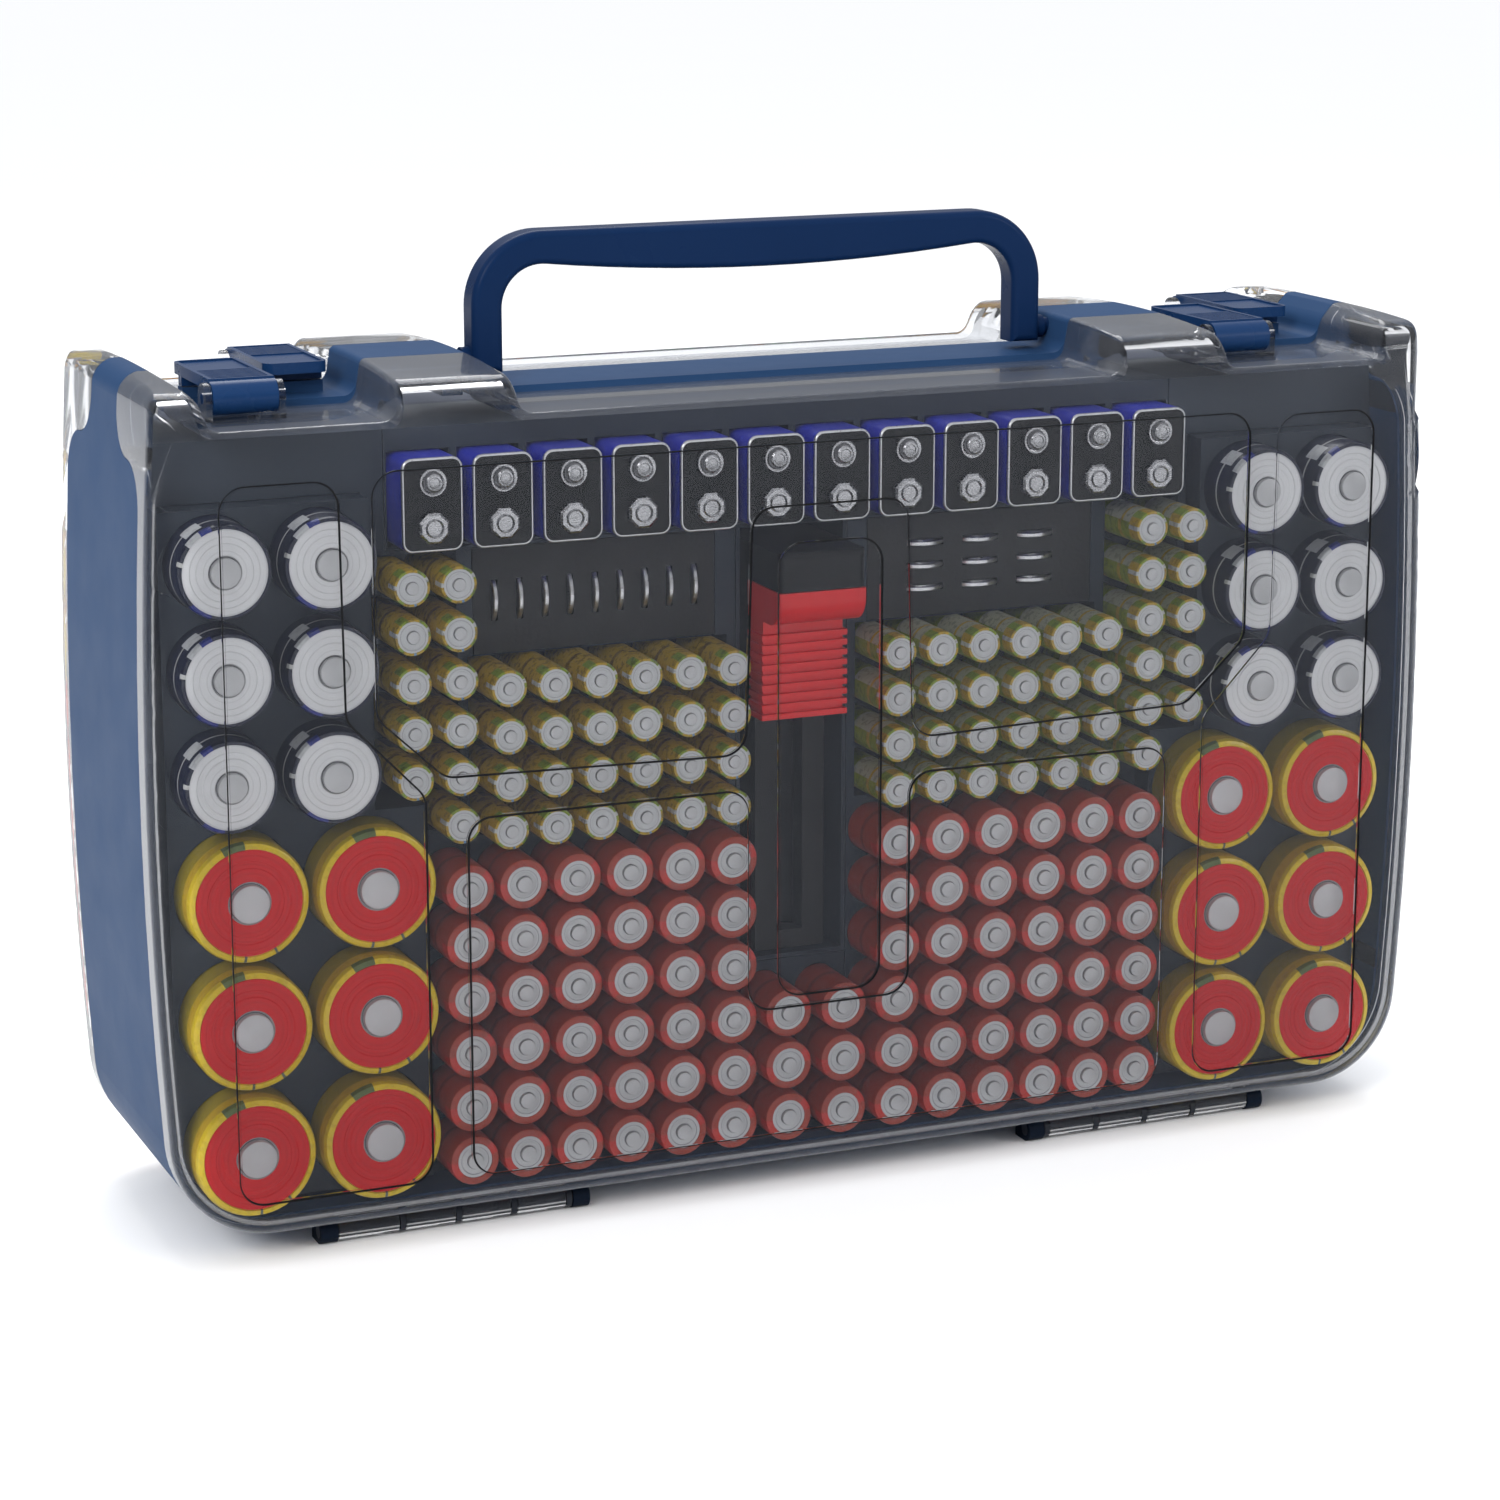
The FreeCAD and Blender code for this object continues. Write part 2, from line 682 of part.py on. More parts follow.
# Handle
def handle():
    """Bail on two pins; the grip's underside bulges down in the middle."""
    outer, inner = handle_half_width, handle_half_width - handle_leg_width
    foot = handle_pivot_z - handle_foot_drop
    top_corner = (outer - handle_outer_radius, handle_top - handle_outer_radius)
    bulge = (0, handle_grip_low + handle_bulge_radius)
    inner_x = inner - handle_inner_radius
    span = math.sqrt((handle_bulge_radius + handle_inner_radius) ** 2 - inner_x ** 2)
    inner_corner = (inner_x, bulge[1] - span)
    lean = math.atan2(span, -inner_x)
    right = [
        Part.makeLine(V(outer, 0, foot), V(outer, 0, top_corner[1])),
        arc(top_corner, handle_outer_radius, 0, math.pi * HALF),
        arc(inner_corner, handle_inner_radius, 0, lean),
        Part.makeLine(V(inner, 0, inner_corner[1]), V(inner, 0, foot)),
        Part.makeLine(V(inner, 0, foot), V(outer, 0, foot)),
    ]
    touch = V(inner_corner[0] + handle_inner_radius * math.cos(lean), 0,
              inner_corner[1] + handle_inner_radius * math.sin(lean))
    middle = [
        Part.makeLine(V(-top_corner[0], 0, handle_top), V(top_corner[0], 0, handle_top)),
        Part.Arc(V(-touch.x, 0, touch.z), V(0, 0, handle_grip_low), touch).toShape(),
    ]
    wire = Part.Wire(Part.__sortEdges__(right + [mirror_x(edge) for edge in right] + middle))
    bail = prism_y(wire, -handle_depth * HALF, handle_depth * HALF)
    rims = [edge for edge in bail.Edges if edge.BoundBox.YLength < handle_edge_round]
    bail = bail.makeFillet(handle_edge_round, rims)
    pin = rod_x(handle_pin_radius, outer - floor_seat, outer + handle_pin_length, 0, handle_pivot_z)
    collar_end = handle_wall_low - handle_collar_gap
    collar = rod_x(handle_collar_radius, outer - floor_seat, collar_end + handle_collar_gap, 0, handle_pivot_z)
    return one_solid(bail.fuse(both_sides(pin) + both_sides(collar)))


# Cells: each is a turned solid with a nub, standing on its flat end
def cell(size):
    radius, length, nub_radius, nub_height = size
    bevel = radius * cell_bevel_share
    shoulder = length - nub_height
    nub_bevel = nub_height * cell_bevel_share
    points = [
        V(0, 0, 0), V(radius - bevel, 0, 0), V(radius, 0, bevel), V(radius, 0, shoulder - bevel),
        V(radius - bevel, 0, shoulder), V(nub_radius, 0, shoulder), V(nub_radius, 0, length - nub_bevel),
        V(nub_radius - nub_bevel, 0, length), V(0, 0, length), V(0, 0, 0),
    ]
    return Part.Face(Part.makePolygon(points)).revolve(V(0, 0, 0), ALONG_Z, FULL_TURN)


def placed(shape, position, direction):
    copy = shape.copy()
    copy.Placement = FreeCAD.Placement(position, FreeCAD.Rotation(ALONG_Z, direction))
    return copy


def d_places():
    return [(side * (d_outer_x - i * d_pitch), d_bottom_z + j * d_pitch)
            for side in (-1, 1) for i in range(2) for j in range(3)]


def c_places():
    return [(side * (c_outer_x - i * c_pitch), c_bottom_z + j * c_pitch)
            for side in (-1, 1) for i in range(2) for j in range(3)]


def aa_places():
    sides = [(side * (aa_inner_x + i * aa_pitch), aa_bottom_z + j * aa_pitch)
             for side in (-1, 1) for i in range(6) for j in range(6)]
    middle = [(side * aa_middle_x, aa_bottom_z + j * aa_pitch) for side in (-1, 1) for j in range(3)]
    return sides + middle


def aaa_places():
    inner = [(side * (aaa_inner_x + i * aaa_pitch_x), aaa_bottom_z + j * aaa_pitch_z)
             for side in (-1, 1) for i in range(6) for j in range(4)]
    outer = [(side * (aaa_outer_x + i * aaa_pitch_x), aaa_outer_top_z - j * aaa_pitch_z)
             for side in (-1, 1) for i, rows in enumerate((6, 5)) for j in range(rows)]
    return inner + outer


def nine_places():
    return [(i - (nine_count - 1) * HALF) * nine_pitch for i in range(nine_count)]


def front_cells(size, places, tip_y):
    model = cell(size)
    back = tip_y + size[1]
    return [placed(model, V(x, back, z), -ALONG_Y) for x, z in places]


def nine_volt_cell():
    block = box(-nine_width * HALF, nine_width * HALF, nine_face_y, nine_face_y + nine_length,
                -nine_height * HALF, nine_height * HALF)
    long_edges = [edge for edge in block.Edges if edge.BoundBox.YLength > nine_width]
    block = block.makeFillet(nine_corner, long_edges)
    tip = nine_face_y - nine_terminal_height
    round_post = rod_y(nine_round_radius, tip, nine_face_y, 0, nine_terminal_half_pitch)
    eighths = [math.pi * (i + HALF) / 4 for i in range(8)]
    corners = [(nine_octagon_radius * math.cos(a), nine_octagon_radius * math.sin(a) - nine_terminal_half_pitch)
               for a in eighths]
    octagon = prism_y(rounded_wire(corners, [0] * len(corners)), tip, nine_face_y)
    return one_solid(block.fuse([round_post, octagon]))


def nine_volt_cells():
    model = nine_volt_cell()
    cells = []
    for x in nine_places():
        copy = model.copy()
        copy.translate(V(x, 0, nine_centre_z))
        cells.append(copy)
    return cells


# Rear cells lie flat, nubs towards the nearer end of the case
def lying(size, x, z, outward):
    """One lying cell centred at x, its nub pointing along outward (+1 or -1)."""
    start = V(x - outward * size[1] * HALF, rear_centre_y, z)
    return placed(cell(size), start, ALONG_X * outward)


def rear_rows(size, place, rows):
    x, top, pitch = place
    return [(size, side * x, top - j * pitch, side) for side in (-1, 1) for j in range(rows)]


def rear_groups():
    """Every rear group by name, as (size, x, z, nub direction) entries."""
    aaa = [(rear_aaa_size, side * x, z, side) for side in (-1, 1) for x in rear_aaa_x for z in rear_aaa_rows]
    aaa += [(rear_aaa_size, (i - 5 * HALF) * rear_aaa_bottom_pitch, rear_aaa_bottom_z, 1) for i in range(6)]
    return {
        "rear_long_cells": rear_rows(long_size, long_place, 3),
        "rear_medium_cells": rear_rows(medium_size, medium_place, 6),
        "rear_short_cells": rear_rows(short_size, short_place, 3),
        "rear_wide_cells": rear_rows(wide_size, wide_place, 6),
        "rear_centre_cells": [(centre_size, 0, centre_top_z - j * centre_pitch, 1) for j in range(10)],
        "rear_slim_cells": rear_rows(slim_size, slim_place, 7),
        "rear_aaa_cells": aaa,
        "rear_mini_cells": [(mini_size, (i - 2) * mini_pitch, mini_z, 1) for i in range(5)],
    }


def rear_pocket(size, x, z):
    """Open trough a little larger than the lying cell."""
    radius = size[0] + pocket_clearance
    half = size[1] * HALF + pocket_clearance
    trough = rod_x(radius, x - half, x + half, rear_centre_y, z)
    mouth = box(x - half, x + half, rear_centre_y, rear_face_y + overrun, z - radius, z + radius)
    return trough.fuse(mouth)


def rear_rack():
    """Sheet with a block behind each group, troughs cut into both."""
    limit = box(-reach, reach, -reach, reach, 0, rack_top)
    sheet = outline_prism(rack_inset, rear_face_y - rack_sheet, rear_face_y).common(limit)
    back = divider_front + divider_thick + rack_split
    rim = outline_prism(rack_inset, back, rear_face_y).common(limit)
    hollow_limit = box(-reach, reach, -reach, reach, 0, rack_top - rack_rim)
    hollow = outline_prism(rack_inset + rack_rim, back - overrun, rear_face_y - rack_sheet).common(hollow_limit)
    rim = rim.cut(hollow)
    blocks, pockets = [], []
    for entries in rear_groups().values():
        for size, x, z, side in entries:
            radius = size[0] + pocket_clearance
            half = size[1] * HALF + pocket_clearance + rack_wall
            low = min(rear_centre_y - radius - rack_floor, rear_block_y + rack_floor + rack_sheet)
            blocks.append(box(x - half, x + half, low, rear_face_y, z - radius - rack_wall, z + radius + rack_wall))
            pockets.append(rear_pocket(size, x, z))
    whole = sheet.fuse([rim] + blocks)
    return one_solid(whole.cut(pockets))


# Front racks: a sheet with blocks behind it, bored for the cells
def pocket(size, x, z, tip_y):
    back = tip_y + size[1]
    return rod_y(size[0] + pocket_clearance, tip_y - overrun, back, x, z)


def block_about(size, places, face_y, tip_y):
    grow = size[0] + pocket_clearance + rack_wall
    xs = [x for x, z in places]
    zs = [z for x, z in places]
    return box(min(xs) - grow, max(xs) + grow, face_y, tip_y + size[1] + rack_floor, min(zs) - grow, max(zs) + grow)


def rack_plate(y0, y1):
    limit = box(-reach, reach, -reach, reach, 0, rack_top)
    return outline_prism(rack_inset, y0, y1).common(limit)


def rack_rim_ring():
    limit = box(-reach, reach, -reach, reach, 0, rack_top - rack_rim)
    inner = outline_prism(rack_inset + rack_rim, rack_face_y - overrun, divider_front + overrun).common(limit)
    return rack_plate(rack_face_y, divider_front - rack_split).cut(inner)


def left_only(places):
    return [(x, z) for x, z in places if x < -well_half]


def nine_zone():
    half = (nine_count - 1) * HALF * nine_pitch + nine_width * HALF + rack_wall
    return box(-half, half, -reach, reach, nine_centre_z - nine_height * HALF - rack_wall, reach)


def crate_form(grow):
    """Outer form of the left crate for the two largest sizes."""
    blocks = []
    for size, places in ((d_size, left_only(d_places())), (c_size, left_only(c_places()))):
        block = block_about(size, places, rack_step_y, large_tip_y).BoundBox
        blocks.append(box(block.XMin - grow, block.XMax + grow, block.YMin, block.YMax,
                          block.ZMin - grow, block.ZMax + grow))
    whole = blocks[0].fuse(blocks[1:])
    return whole.common(outline_prism(rack_inset + rack_rim + rack_split - grow, -reach, reach))


def left_crate():
    cuts = [pocket(d_size, x, z, large_tip_y) for x, z in left_only(d_places())]
    cuts += [pocket(c_size, x, z, large_tip_y) for x, z in left_only(c_places())]
    return one_solid(crate_form(0).cut(cuts))


def left_rack():
    """Left section: the small round cells, the place of the crate and of the coin panel."""
    aa_left, aaa_left = left_only(aa_places()), left_only(aaa_places())
    inner_cut = -aaa_outer_x + aaa_pitch_x * HALF
    aaa_outer = [(x, z) for x, z in aaa_left if x < inner_cut]
    aaa_inner = [(x, z) for x, z in aaa_left if x > inner_cut]
    low = [block_about(aaa_size, group, rack_face_y, small_tip_y) for group in (aaa_outer, aaa_inner)]
    solid = rack_plate(rack_face_y, rack_face_y + rack_sheet)
    solid = solid.fuse([rack_rim_ring(), block_about(aa_size, aa_left, rack_face_y, small_tip_y)] + low)
    side = box(-reach, -well_half - rack_split, -reach, reach, 0, reach)
    solid = solid.common(side).cut(nine_zone().common(side))
    cuts = [pocket(aa_size, x, z, small_tip_y) for x, z in aa_left]
    cuts += [pocket(aaa_size, x, z, small_tip_y) for x, z in aaa_left]
    cuts += [pocket(d_size, x, z, large_tip_y) for x, z in left_only(d_places())]
    cuts += [pocket(c_size, x, z, large_tip_y) for x, z in left_only(c_places())]
    for part in low:
        limits = part.BoundBox
        cuts.append(box(limits.XMin + rack_wall, limits.XMax - rack_wall, rack_face_y - overrun, rack_low_y,
                        limits.ZMin + rack_wall, limits.ZMax - rack_wall))
    crate = crate_form(rack_split)
    cuts.append(crate)
    cuts.append(box(-coin_panel_outer_x - rack_split, -coin_panel_inner_x + rack_split, rack_face_y - overrun,
                    divider_front + overrun, coin_panel_low_z - rack_split, coin_panel_high_z + rack_split))
    return one_solid(solid.cut(cuts))


def centre_rack():
    middle = [(x, z) for x, z in aa_places() if abs(x) < well_half]
    solid = rack_plate(rack_face_y, rack_face_y + rack_sheet)
    solid = solid.fuse([rack_rim_ring(), block_about(aa_size, middle, rack_face_y, small_tip_y)])
    solid = solid.common(box(-well_half, well_half, -reach, reach, 0, well_low - rack_split))
    return one_solid(solid.cut([pocket(aa_size, x, z, small_tip_y) for x, z in middle]))


def nine_rack():
    zone = nine_zone().BoundBox
    solid = rack_plate(rack_face_y, rack_face_y + rack_sheet).fuse(rack_rim_ring())
    back = nine_face_y + nine_length
    half = nine_height * HALF + pocket_clearance
    block = box(zone.XMin + rack_split, zone.XMax - rack_split, rack_face_y, back + rack_floor,
                zone.ZMin + rack_split, nine_centre_z + half + rack_wall)
    solid = solid.fuse(block).common(box(zone.XMin + rack_split, zone.XMax - rack_split, -reach, reach,
                                         zone.ZMin + rack_split, reach))
    width = nine_width * HALF + pocket_clearance
    cuts = [box(x - width, x + width, rack_face_y - overrun, back, nine_centre_z - half, nine_centre_z + half)
            for x in nine_places()]
    return one_solid(solid.cut(cuts))


def tester_well():
    """Channel between the racks that holds the tester."""
    back = divider_front - rack_split
    outside = box(-well_half, well_half, rack_face_y, back, well_low, well_high)
    inside = box(-well_half + well_wall, well_half - well_wall, rack_face_y - overrun,
                 tester_back_y + rack_split, well_low + well_wall, well_high - well_wall)
    return outside.cut(inside)


# Coin panels: the left one holds upright discs, the right one flat rows of three
def coin_places():
    upright = [(-(coin_panel_inner_x + coin_panel_outer_x) * HALF
                + (i - (coin_row_count - 1) * HALF) * coin_row_pitch,
                (coin_panel_low_z + coin_panel_high_z) * HALF) for i in range(coin_row_count)]
    centre = (coin_panel_inner_x + coin_panel_outer_x) * HALF
    flat = [(centre + i * coin_grid_pitch_x, (coin_panel_low_z + coin_panel_high_z) * HALF + j * coin_grid_pitch_z)
            for i in (-1, 0, 1) for j in (-1, 0, 1)]
    return upright, flat


def disc(x, z, upright, grow):
    y = rack_face_y + coin_inset
    axis = ALONG_X if upright else ALONG_Z
    thick = coin_thick + 2 * grow
    start = V(x, y, z) - axis * (thick * HALF)
    return rod(coin_radius + grow, start, axis, thick)


def coin_panel(upright):
    panel = box(coin_panel_inner_x, coin_panel_outer_x, rack_face_y, rack_face_y + coin_panel_depth,
                coin_panel_low_z, coin_panel_high_z)
    if upright:
        panel = mirror_x(panel)
    places = coin_places()[0 if upright else 1]
    return one_solid(panel.cut([disc(x, z, upright, coin_slot_clearance) for x, z in places]))


def coin_cells(upright):
    return [disc(x, z, upright, 0) for x, z in coin_places()[0 if upright else 1]]


# Tester: a dark body with a rail, and a jaw that slides down it
def tester_body():
    body = box(-tester_rail_half_width, tester_rail_half_width, tester_rail_y, tester_back_y,
               tester_low_z, tester_top_z)
    cap = box(-tester_half_width, tester_half_width, tester_front_y, tester_back_y,
              tester_cap_low_z, tester_top_z)
    front = [edge for edge in cap.Edges
             if edge.BoundBox.YMax < tester_front_y + touch and edge.BoundBox.ZMax > tester_cap_low_z + touch]
    cap = cap.makeFillet(tester_corner, front)
    slot = box(-tester_slot_half_width, tester_slot_half_width, tester_rail_y - overrun,
               tester_rail_y + tester_slot_depth, tester_slot_low_z, tester_cap_low_z)
    seat = rod(contact_radius + contact_clearance, V(0, contact_y, tester_cap_low_z), ALONG_Z, contact_height)
    return one_solid(body.fuse(cap).cut([slot, seat]))


def head_top():
    return tester_cap_low_z - tester_gap


def tester_head():
    top, back = head_top(), tester_rail_y - tester_gap
    jaw = box(-tester_half_width, tester_half_width, tester_front_y, back, tester_jaw_low_z, top)
    under = [edge for edge in jaw.Edges
             if edge.BoundBox.YMax < tester_front_y + touch and edge.BoundBox.ZMax < tester_jaw_low_z + touch]
    jaw = jaw.makeFillet(tester_jaw_round, under)
    neck = box(-tester_neck_half_width, tester_neck_half_width, tester_neck_y, back, tester_head_low_z, top)
    ribs = []
    for i in range(grip_rib_count):
        z = tester_head_low_z + i * grip_rib_pitch
        ribs.append(box(-tester_half_width, tester_half_width, tester_neck_y - grip_rib_height,
                        back, z, z + grip_rib_width))
    tongue_half = tester_slot_half_width - tester_tongue_clearance
    tongue = box(-tongue_half, tongue_half, back - floor_seat,
                 tester_rail_y + tester_slot_depth - tester_tongue_clearance, tester_head_low_z, top)
    seat = rod(contact_radius + contact_clearance, V(0, contact_y, top), -ALONG_Z, contact_height)
    return one_solid(jaw.fuse([neck, tongue] + ribs).cut(seat))


def cap_contact():
    return rod(contact_radius, V(0, contact_y, tester_cap_low_z), ALONG_Z, contact_height)


def head_contact():
    return rod(contact_radius, V(0, contact_y, head_top()), -ALONG_Z, contact_height)


# The whole case, node by node
def nodes():
    made = {}
    made["case_frame"] = case_frame()
    made["divider_panel"] = divider_panel()
    cover = front_cover()
    made["front_cover"] = cover
    made["rear_cover"] = turned_half(cover)
    right_latch, left_latch = latch(latch_inner_x), latch(-latch_outer_x)
    made["latch_front_left"] = left_latch
    made["latch_front_right"] = right_latch
    made["latch_rear_right"] = turned_half(left_latch)
    made["latch_rear_left"] = turned_half(right_latch)
    made["latch_pin_front_left"] = latch_pin(-latch_outer_x)
    made["latch_pin_front_right"] = latch_pin(latch_inner_x)
    made["latch_pin_rear_right"] = turned_half(latch_pin(-latch_outer_x))
    made["latch_pin_rear_left"] = turned_half(latch_pin(latch_inner_x))
    right_rod = hinge_rod()
    left_rod = mirror_x(right_rod)
    made["hinge_rod_front_right"] = right_rod
    made["hinge_rod_front_left"] = left_rod
    made["hinge_rod_rear_left"] = turned_half(right_rod)
    made["hinge_rod_rear_right"] = turned_half(left_rod)
    made["handle"] = handle()
    left = left_rack()
    made["rack_left"] = left
    made["rack_right"] = mirror_x(left)
    crate = left_crate()
    made["crate_left"] = crate
    made["crate_right"] = mirror_x(crate)
    made["rack_centre"] = centre_rack()
    made["rack_nine_volt"] = nine_rack()
    made["rack_rear"] = rear_rack()
    made["tester_well"] = tester_well()
    made["coin_panel_left"] = coin_panel(True)
    made["coin_panel_right"] = coin_panel(False)
    made["coin_cells_left"] = Part.makeCompound(coin_cells(True))
    made["coin_cells_right"] = Part.makeCompound(coin_cells(False))
    made["cells_d"] = Part.makeCompound(front_cells(d_size, d_places(), large_tip_y))
    made["cells_c"] = Part.makeCompound(front_cells(c_size, c_places(), large_tip_y))
    made["cells_aa"] = Part.makeCompound(front_cells(aa_size, aa_places(), small_tip_y))
    made["cells_aaa"] = Part.makeCompound(front_cells(aaa_size, aaa_places(), small_tip_y))
    made["cells_nine_volt"] = Part.makeCompound(nine_volt_cells())
    for name, entries in rear_groups().items():
        made[name] = Part.makeCompound([lying(*entry) for entry in entries])
    made["tester_body"] = tester_body()
    made["tester_head"] = tester_head()
    made["tester_cap_contact"] = cap_contact()
    made["tester_head_contact"] = head_contact()
    return made


os.makedirs("parts", exist_ok=True)
for name, shape in nodes().items():
    shape.exportStep("parts/" + name + ".step")
    print(name, len(shape.Solids), "solids", round(shape.Volume), "mm3", shape.isValid())
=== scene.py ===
import json
import math

import bmesh
import bpy
import numpy as np
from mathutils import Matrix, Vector

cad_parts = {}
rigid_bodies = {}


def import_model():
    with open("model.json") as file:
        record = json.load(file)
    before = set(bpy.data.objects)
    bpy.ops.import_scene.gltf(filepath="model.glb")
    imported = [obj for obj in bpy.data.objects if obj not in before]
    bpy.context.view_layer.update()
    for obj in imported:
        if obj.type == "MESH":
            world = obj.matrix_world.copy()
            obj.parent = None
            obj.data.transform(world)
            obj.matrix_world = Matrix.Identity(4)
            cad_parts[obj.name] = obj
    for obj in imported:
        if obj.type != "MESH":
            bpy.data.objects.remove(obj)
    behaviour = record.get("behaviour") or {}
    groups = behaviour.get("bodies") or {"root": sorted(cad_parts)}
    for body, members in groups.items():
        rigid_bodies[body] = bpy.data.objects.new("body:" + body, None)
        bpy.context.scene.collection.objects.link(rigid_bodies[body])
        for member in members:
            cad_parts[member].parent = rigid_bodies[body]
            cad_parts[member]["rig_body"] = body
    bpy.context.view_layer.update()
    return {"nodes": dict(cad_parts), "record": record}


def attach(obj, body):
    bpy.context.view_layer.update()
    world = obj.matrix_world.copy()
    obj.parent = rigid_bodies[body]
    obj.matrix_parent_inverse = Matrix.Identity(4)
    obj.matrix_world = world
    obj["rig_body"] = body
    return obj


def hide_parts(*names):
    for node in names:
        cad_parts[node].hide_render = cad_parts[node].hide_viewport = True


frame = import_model()
mm = 0.001  # every size below is in millimetres and is brought to metres with this
print("frame loaded:", len(frame["nodes"]), "nodes")

# Camera, at the height and side that the product is shown from
view = {"place": (-440.4, -1033.1, 394.1), "aim": (0.3789, 0.8944, -0.2379), "lens": 93.7, "sensor": 36.0,
        "near": 0.02, "far": 80.0}
camera = bpy.data.objects.new("camera", bpy.data.cameras.new("camera"))
camera.data.lens = view["lens"]
camera.data.sensor_width = view["sensor"]
camera.data.clip_start, camera.data.clip_end = view["near"], view["far"]
camera.location = Vector(view["place"]) * mm
camera.rotation_mode = "QUATERNION"
camera.rotation_quaternion = Vector(view["aim"]).to_track_quat("-Z", "Y")
bpy.context.scene.collection.objects.link(camera)
bpy.context.scene.camera = camera
print("camera set")


# A socket that takes part in sums: each operator adds its own Math node
class Wire:
    def __init__(self, finish, socket):
        self.finish = finish
        self.socket = socket

    def math(self, operation, *values):
        return self.finish.node("ShaderNodeMath", {"operation": operation}, dict(enumerate(values)))

    def __add__(self, other):
        return self.math("ADD", self, other)

    __radd__ = __add__

    def __sub__(self, other):
        return self.math("SUBTRACT", self, other)

    def __rsub__(self, other):
        return self.math("SUBTRACT", other, self)

    def __mul__(self, other):
        return self.math("MULTIPLY", self, other)

    __rmul__ = __mul__

    def __gt__(self, other):
        return self.math("GREATER_THAN", self, other)

    def __lt__(self, other):
        return self.math("LESS_THAN", self, other)

    def __abs__(self):
        return self.math("ABSOLUTE", self)


# One material, or the surround, and its nodes
class Finish:
    def __init__(self, name, owner=None):
        self.owner = owner or bpy.data.materials.new(name)
        self.owner.use_nodes = True
        self.tree = self.owner.node_tree
        self.tree.nodes.clear()

    # any node: its settings first, a ramp's stops among them, then the values or links of its sockets
    def node(self, kind, settings=None, values=None, output=0):
        made = self.tree.nodes.new(kind)
        for key, value in (settings or {}).items():
            if key != "stops":
                setattr(made, key, value)
                continue
            ramp = made.color_ramp
            ramp.interpolation = "CONSTANT"
            while len(ramp.elements) < len(value):
                ramp.elements.new(1.0)
            for stop, (place, shade) in zip(ramp.elements, value):
                stop.position = place
                stop.color = (*shade, 1)
        for key, value in (values or {}).items():
            if isinstance(value, Wire):
                self.tree.links.new(value.socket, made.inputs[key])
            elif isinstance(value, tuple) and len(value) == 3 and made.inputs[key].type == "RGBA":
                made.inputs[key].default_value = (*value, 1)
            else:
                made.inputs[key].default_value = value
        return Wire(self, made.outputs[output]) if made.outputs else None

    def place(self):
        return self.node("ShaderNodeTexCoord", output="Object")

    # the single numbers of a vector
    def parts(self, vector):
        split = self.node("ShaderNodeSeparateXYZ", values={0: vector})
        return [Wire(self, socket) for socket in split.socket.node.outputs]

    def axes(self):
        return self.parts(self.place())

    # the piece's own wrap: the turn share round the cell and the depth share along it
    def wrap(self):
        return self.parts(self.node("ShaderNodeUVMap", {"uv_map": "wrap"}))[:2]

    def trait(self, name):
        return self.node("ShaderNodeAttribute", {"attribute_name": name}, output="Fac")

    def noise(self, scale, detail=2.0, stretch=None):
        where = self.place()
        if stretch:
            where = self.node("ShaderNodeVectorMath", {"operation": "MULTIPLY"}, {0: where, 1: stretch})
        return self.node("ShaderNodeTexNoise", values={"Vector": where, "Scale": scale, "Detail": detail})

    def mix(self, share, first, second):
        return self.node("ShaderNodeMix", {"data_type": "RGBA"}, {0: share, 6: first, 7: second}, output=2)

    def bands(self, value, stops):
        return self.node("ShaderNodeValToRGB", {"stops": stops}, {0: value})

    def bump(self, height, depth):
        return self.node("ShaderNodeBump", values={"Strength": 1.0, "Distance": depth * mm, "Height": height})

    def skin(self, shade, rough, normal=None, **fixed):
        values = {"Base Color": shade, "Roughness": rough}
        if normal:
            values["Normal"] = normal
        values.update({key.replace("_", " "): value for key, value in fixed.items()})
        return self.node("ShaderNodeBsdfPrincipled", values=values)

    def done(self, shader, kind="ShaderNodeOutputMaterial"):
        self.node(kind, values={"Surface": shader})
        return self.owner


# Moulded plastic: a faint cloudiness in the colour, fine grain in the surface, a few dull patches. A foot below a
# given height is painted darker as painted shade near the floor, and a patch inside the case is painted a darker
# slate as painted shade inside the case
moulding = {"cloud": 28.0, "dull": 60.0, "grain": 1500.0, "lift": 1.12, "swing": 0.16, "coatRough": 0.12,
            "footShadeShare": 0.14, "footShadeLift": 0.004}


def mouldedPlastic(name, shade, rough, grain, coat=0.0, gloss=0.28, foot=0.0, inside=None):
    m = moulding
    f = Finish(name)
    light = tuple(min(1.0, c * m["lift"] + 0.001) for c in shade)
    colour = f.mix(f.noise(m["cloud"], 3.0), shade, light)
    if foot:
        # painted shade: below the foot height the colour darkens, and inside the case it turns a darker slate
        x, z = f.axes()[::2]
        colour = f.mix(z < foot * mm, colour, tuple(c * m["footShadeShare"] + m["footShadeLift"] for c in shade))
        within = (abs(x) < inside["side"] * mm) * (z > inside["low"] * mm) * (z < inside["high"] * mm)
        colour = f.mix(within, colour, inside["shade"])
    dull = f.noise(m["dull"], 4.0)
    fine = f.noise(m["grain"], 1.0)
    return f.done(f.skin(colour, rough + (dull - 0.5) * m["swing"], f.bump(fine, grain), Coat_Weight=coat,
                         Coat_Roughness=m["coatRough"], Specular_IOR_Level=gloss))


# Bare metal: fine turning lines and light stains in the gloss
turning = {"stain": 180.0, "lines": 900.0, "stretch": (1.0, 1.0, 6.0), "dark": 0.78, "swing": 0.2, "depth": 0.006}


def bareMetal(name, shade, rough, metal=1.0):
    f = Finish(name)
    stain = f.noise(turning["stain"], 3.0)
    lines = f.noise(turning["lines"], 2.0, turning["stretch"])
    dark = tuple(c * turning["dark"] for c in shade)
    return f.done(f.skin(f.mix(stain, shade, dark), rough + (lines - 0.5) * turning["swing"],
                         f.bump(lines, turning["depth"]), Metallic=metal))
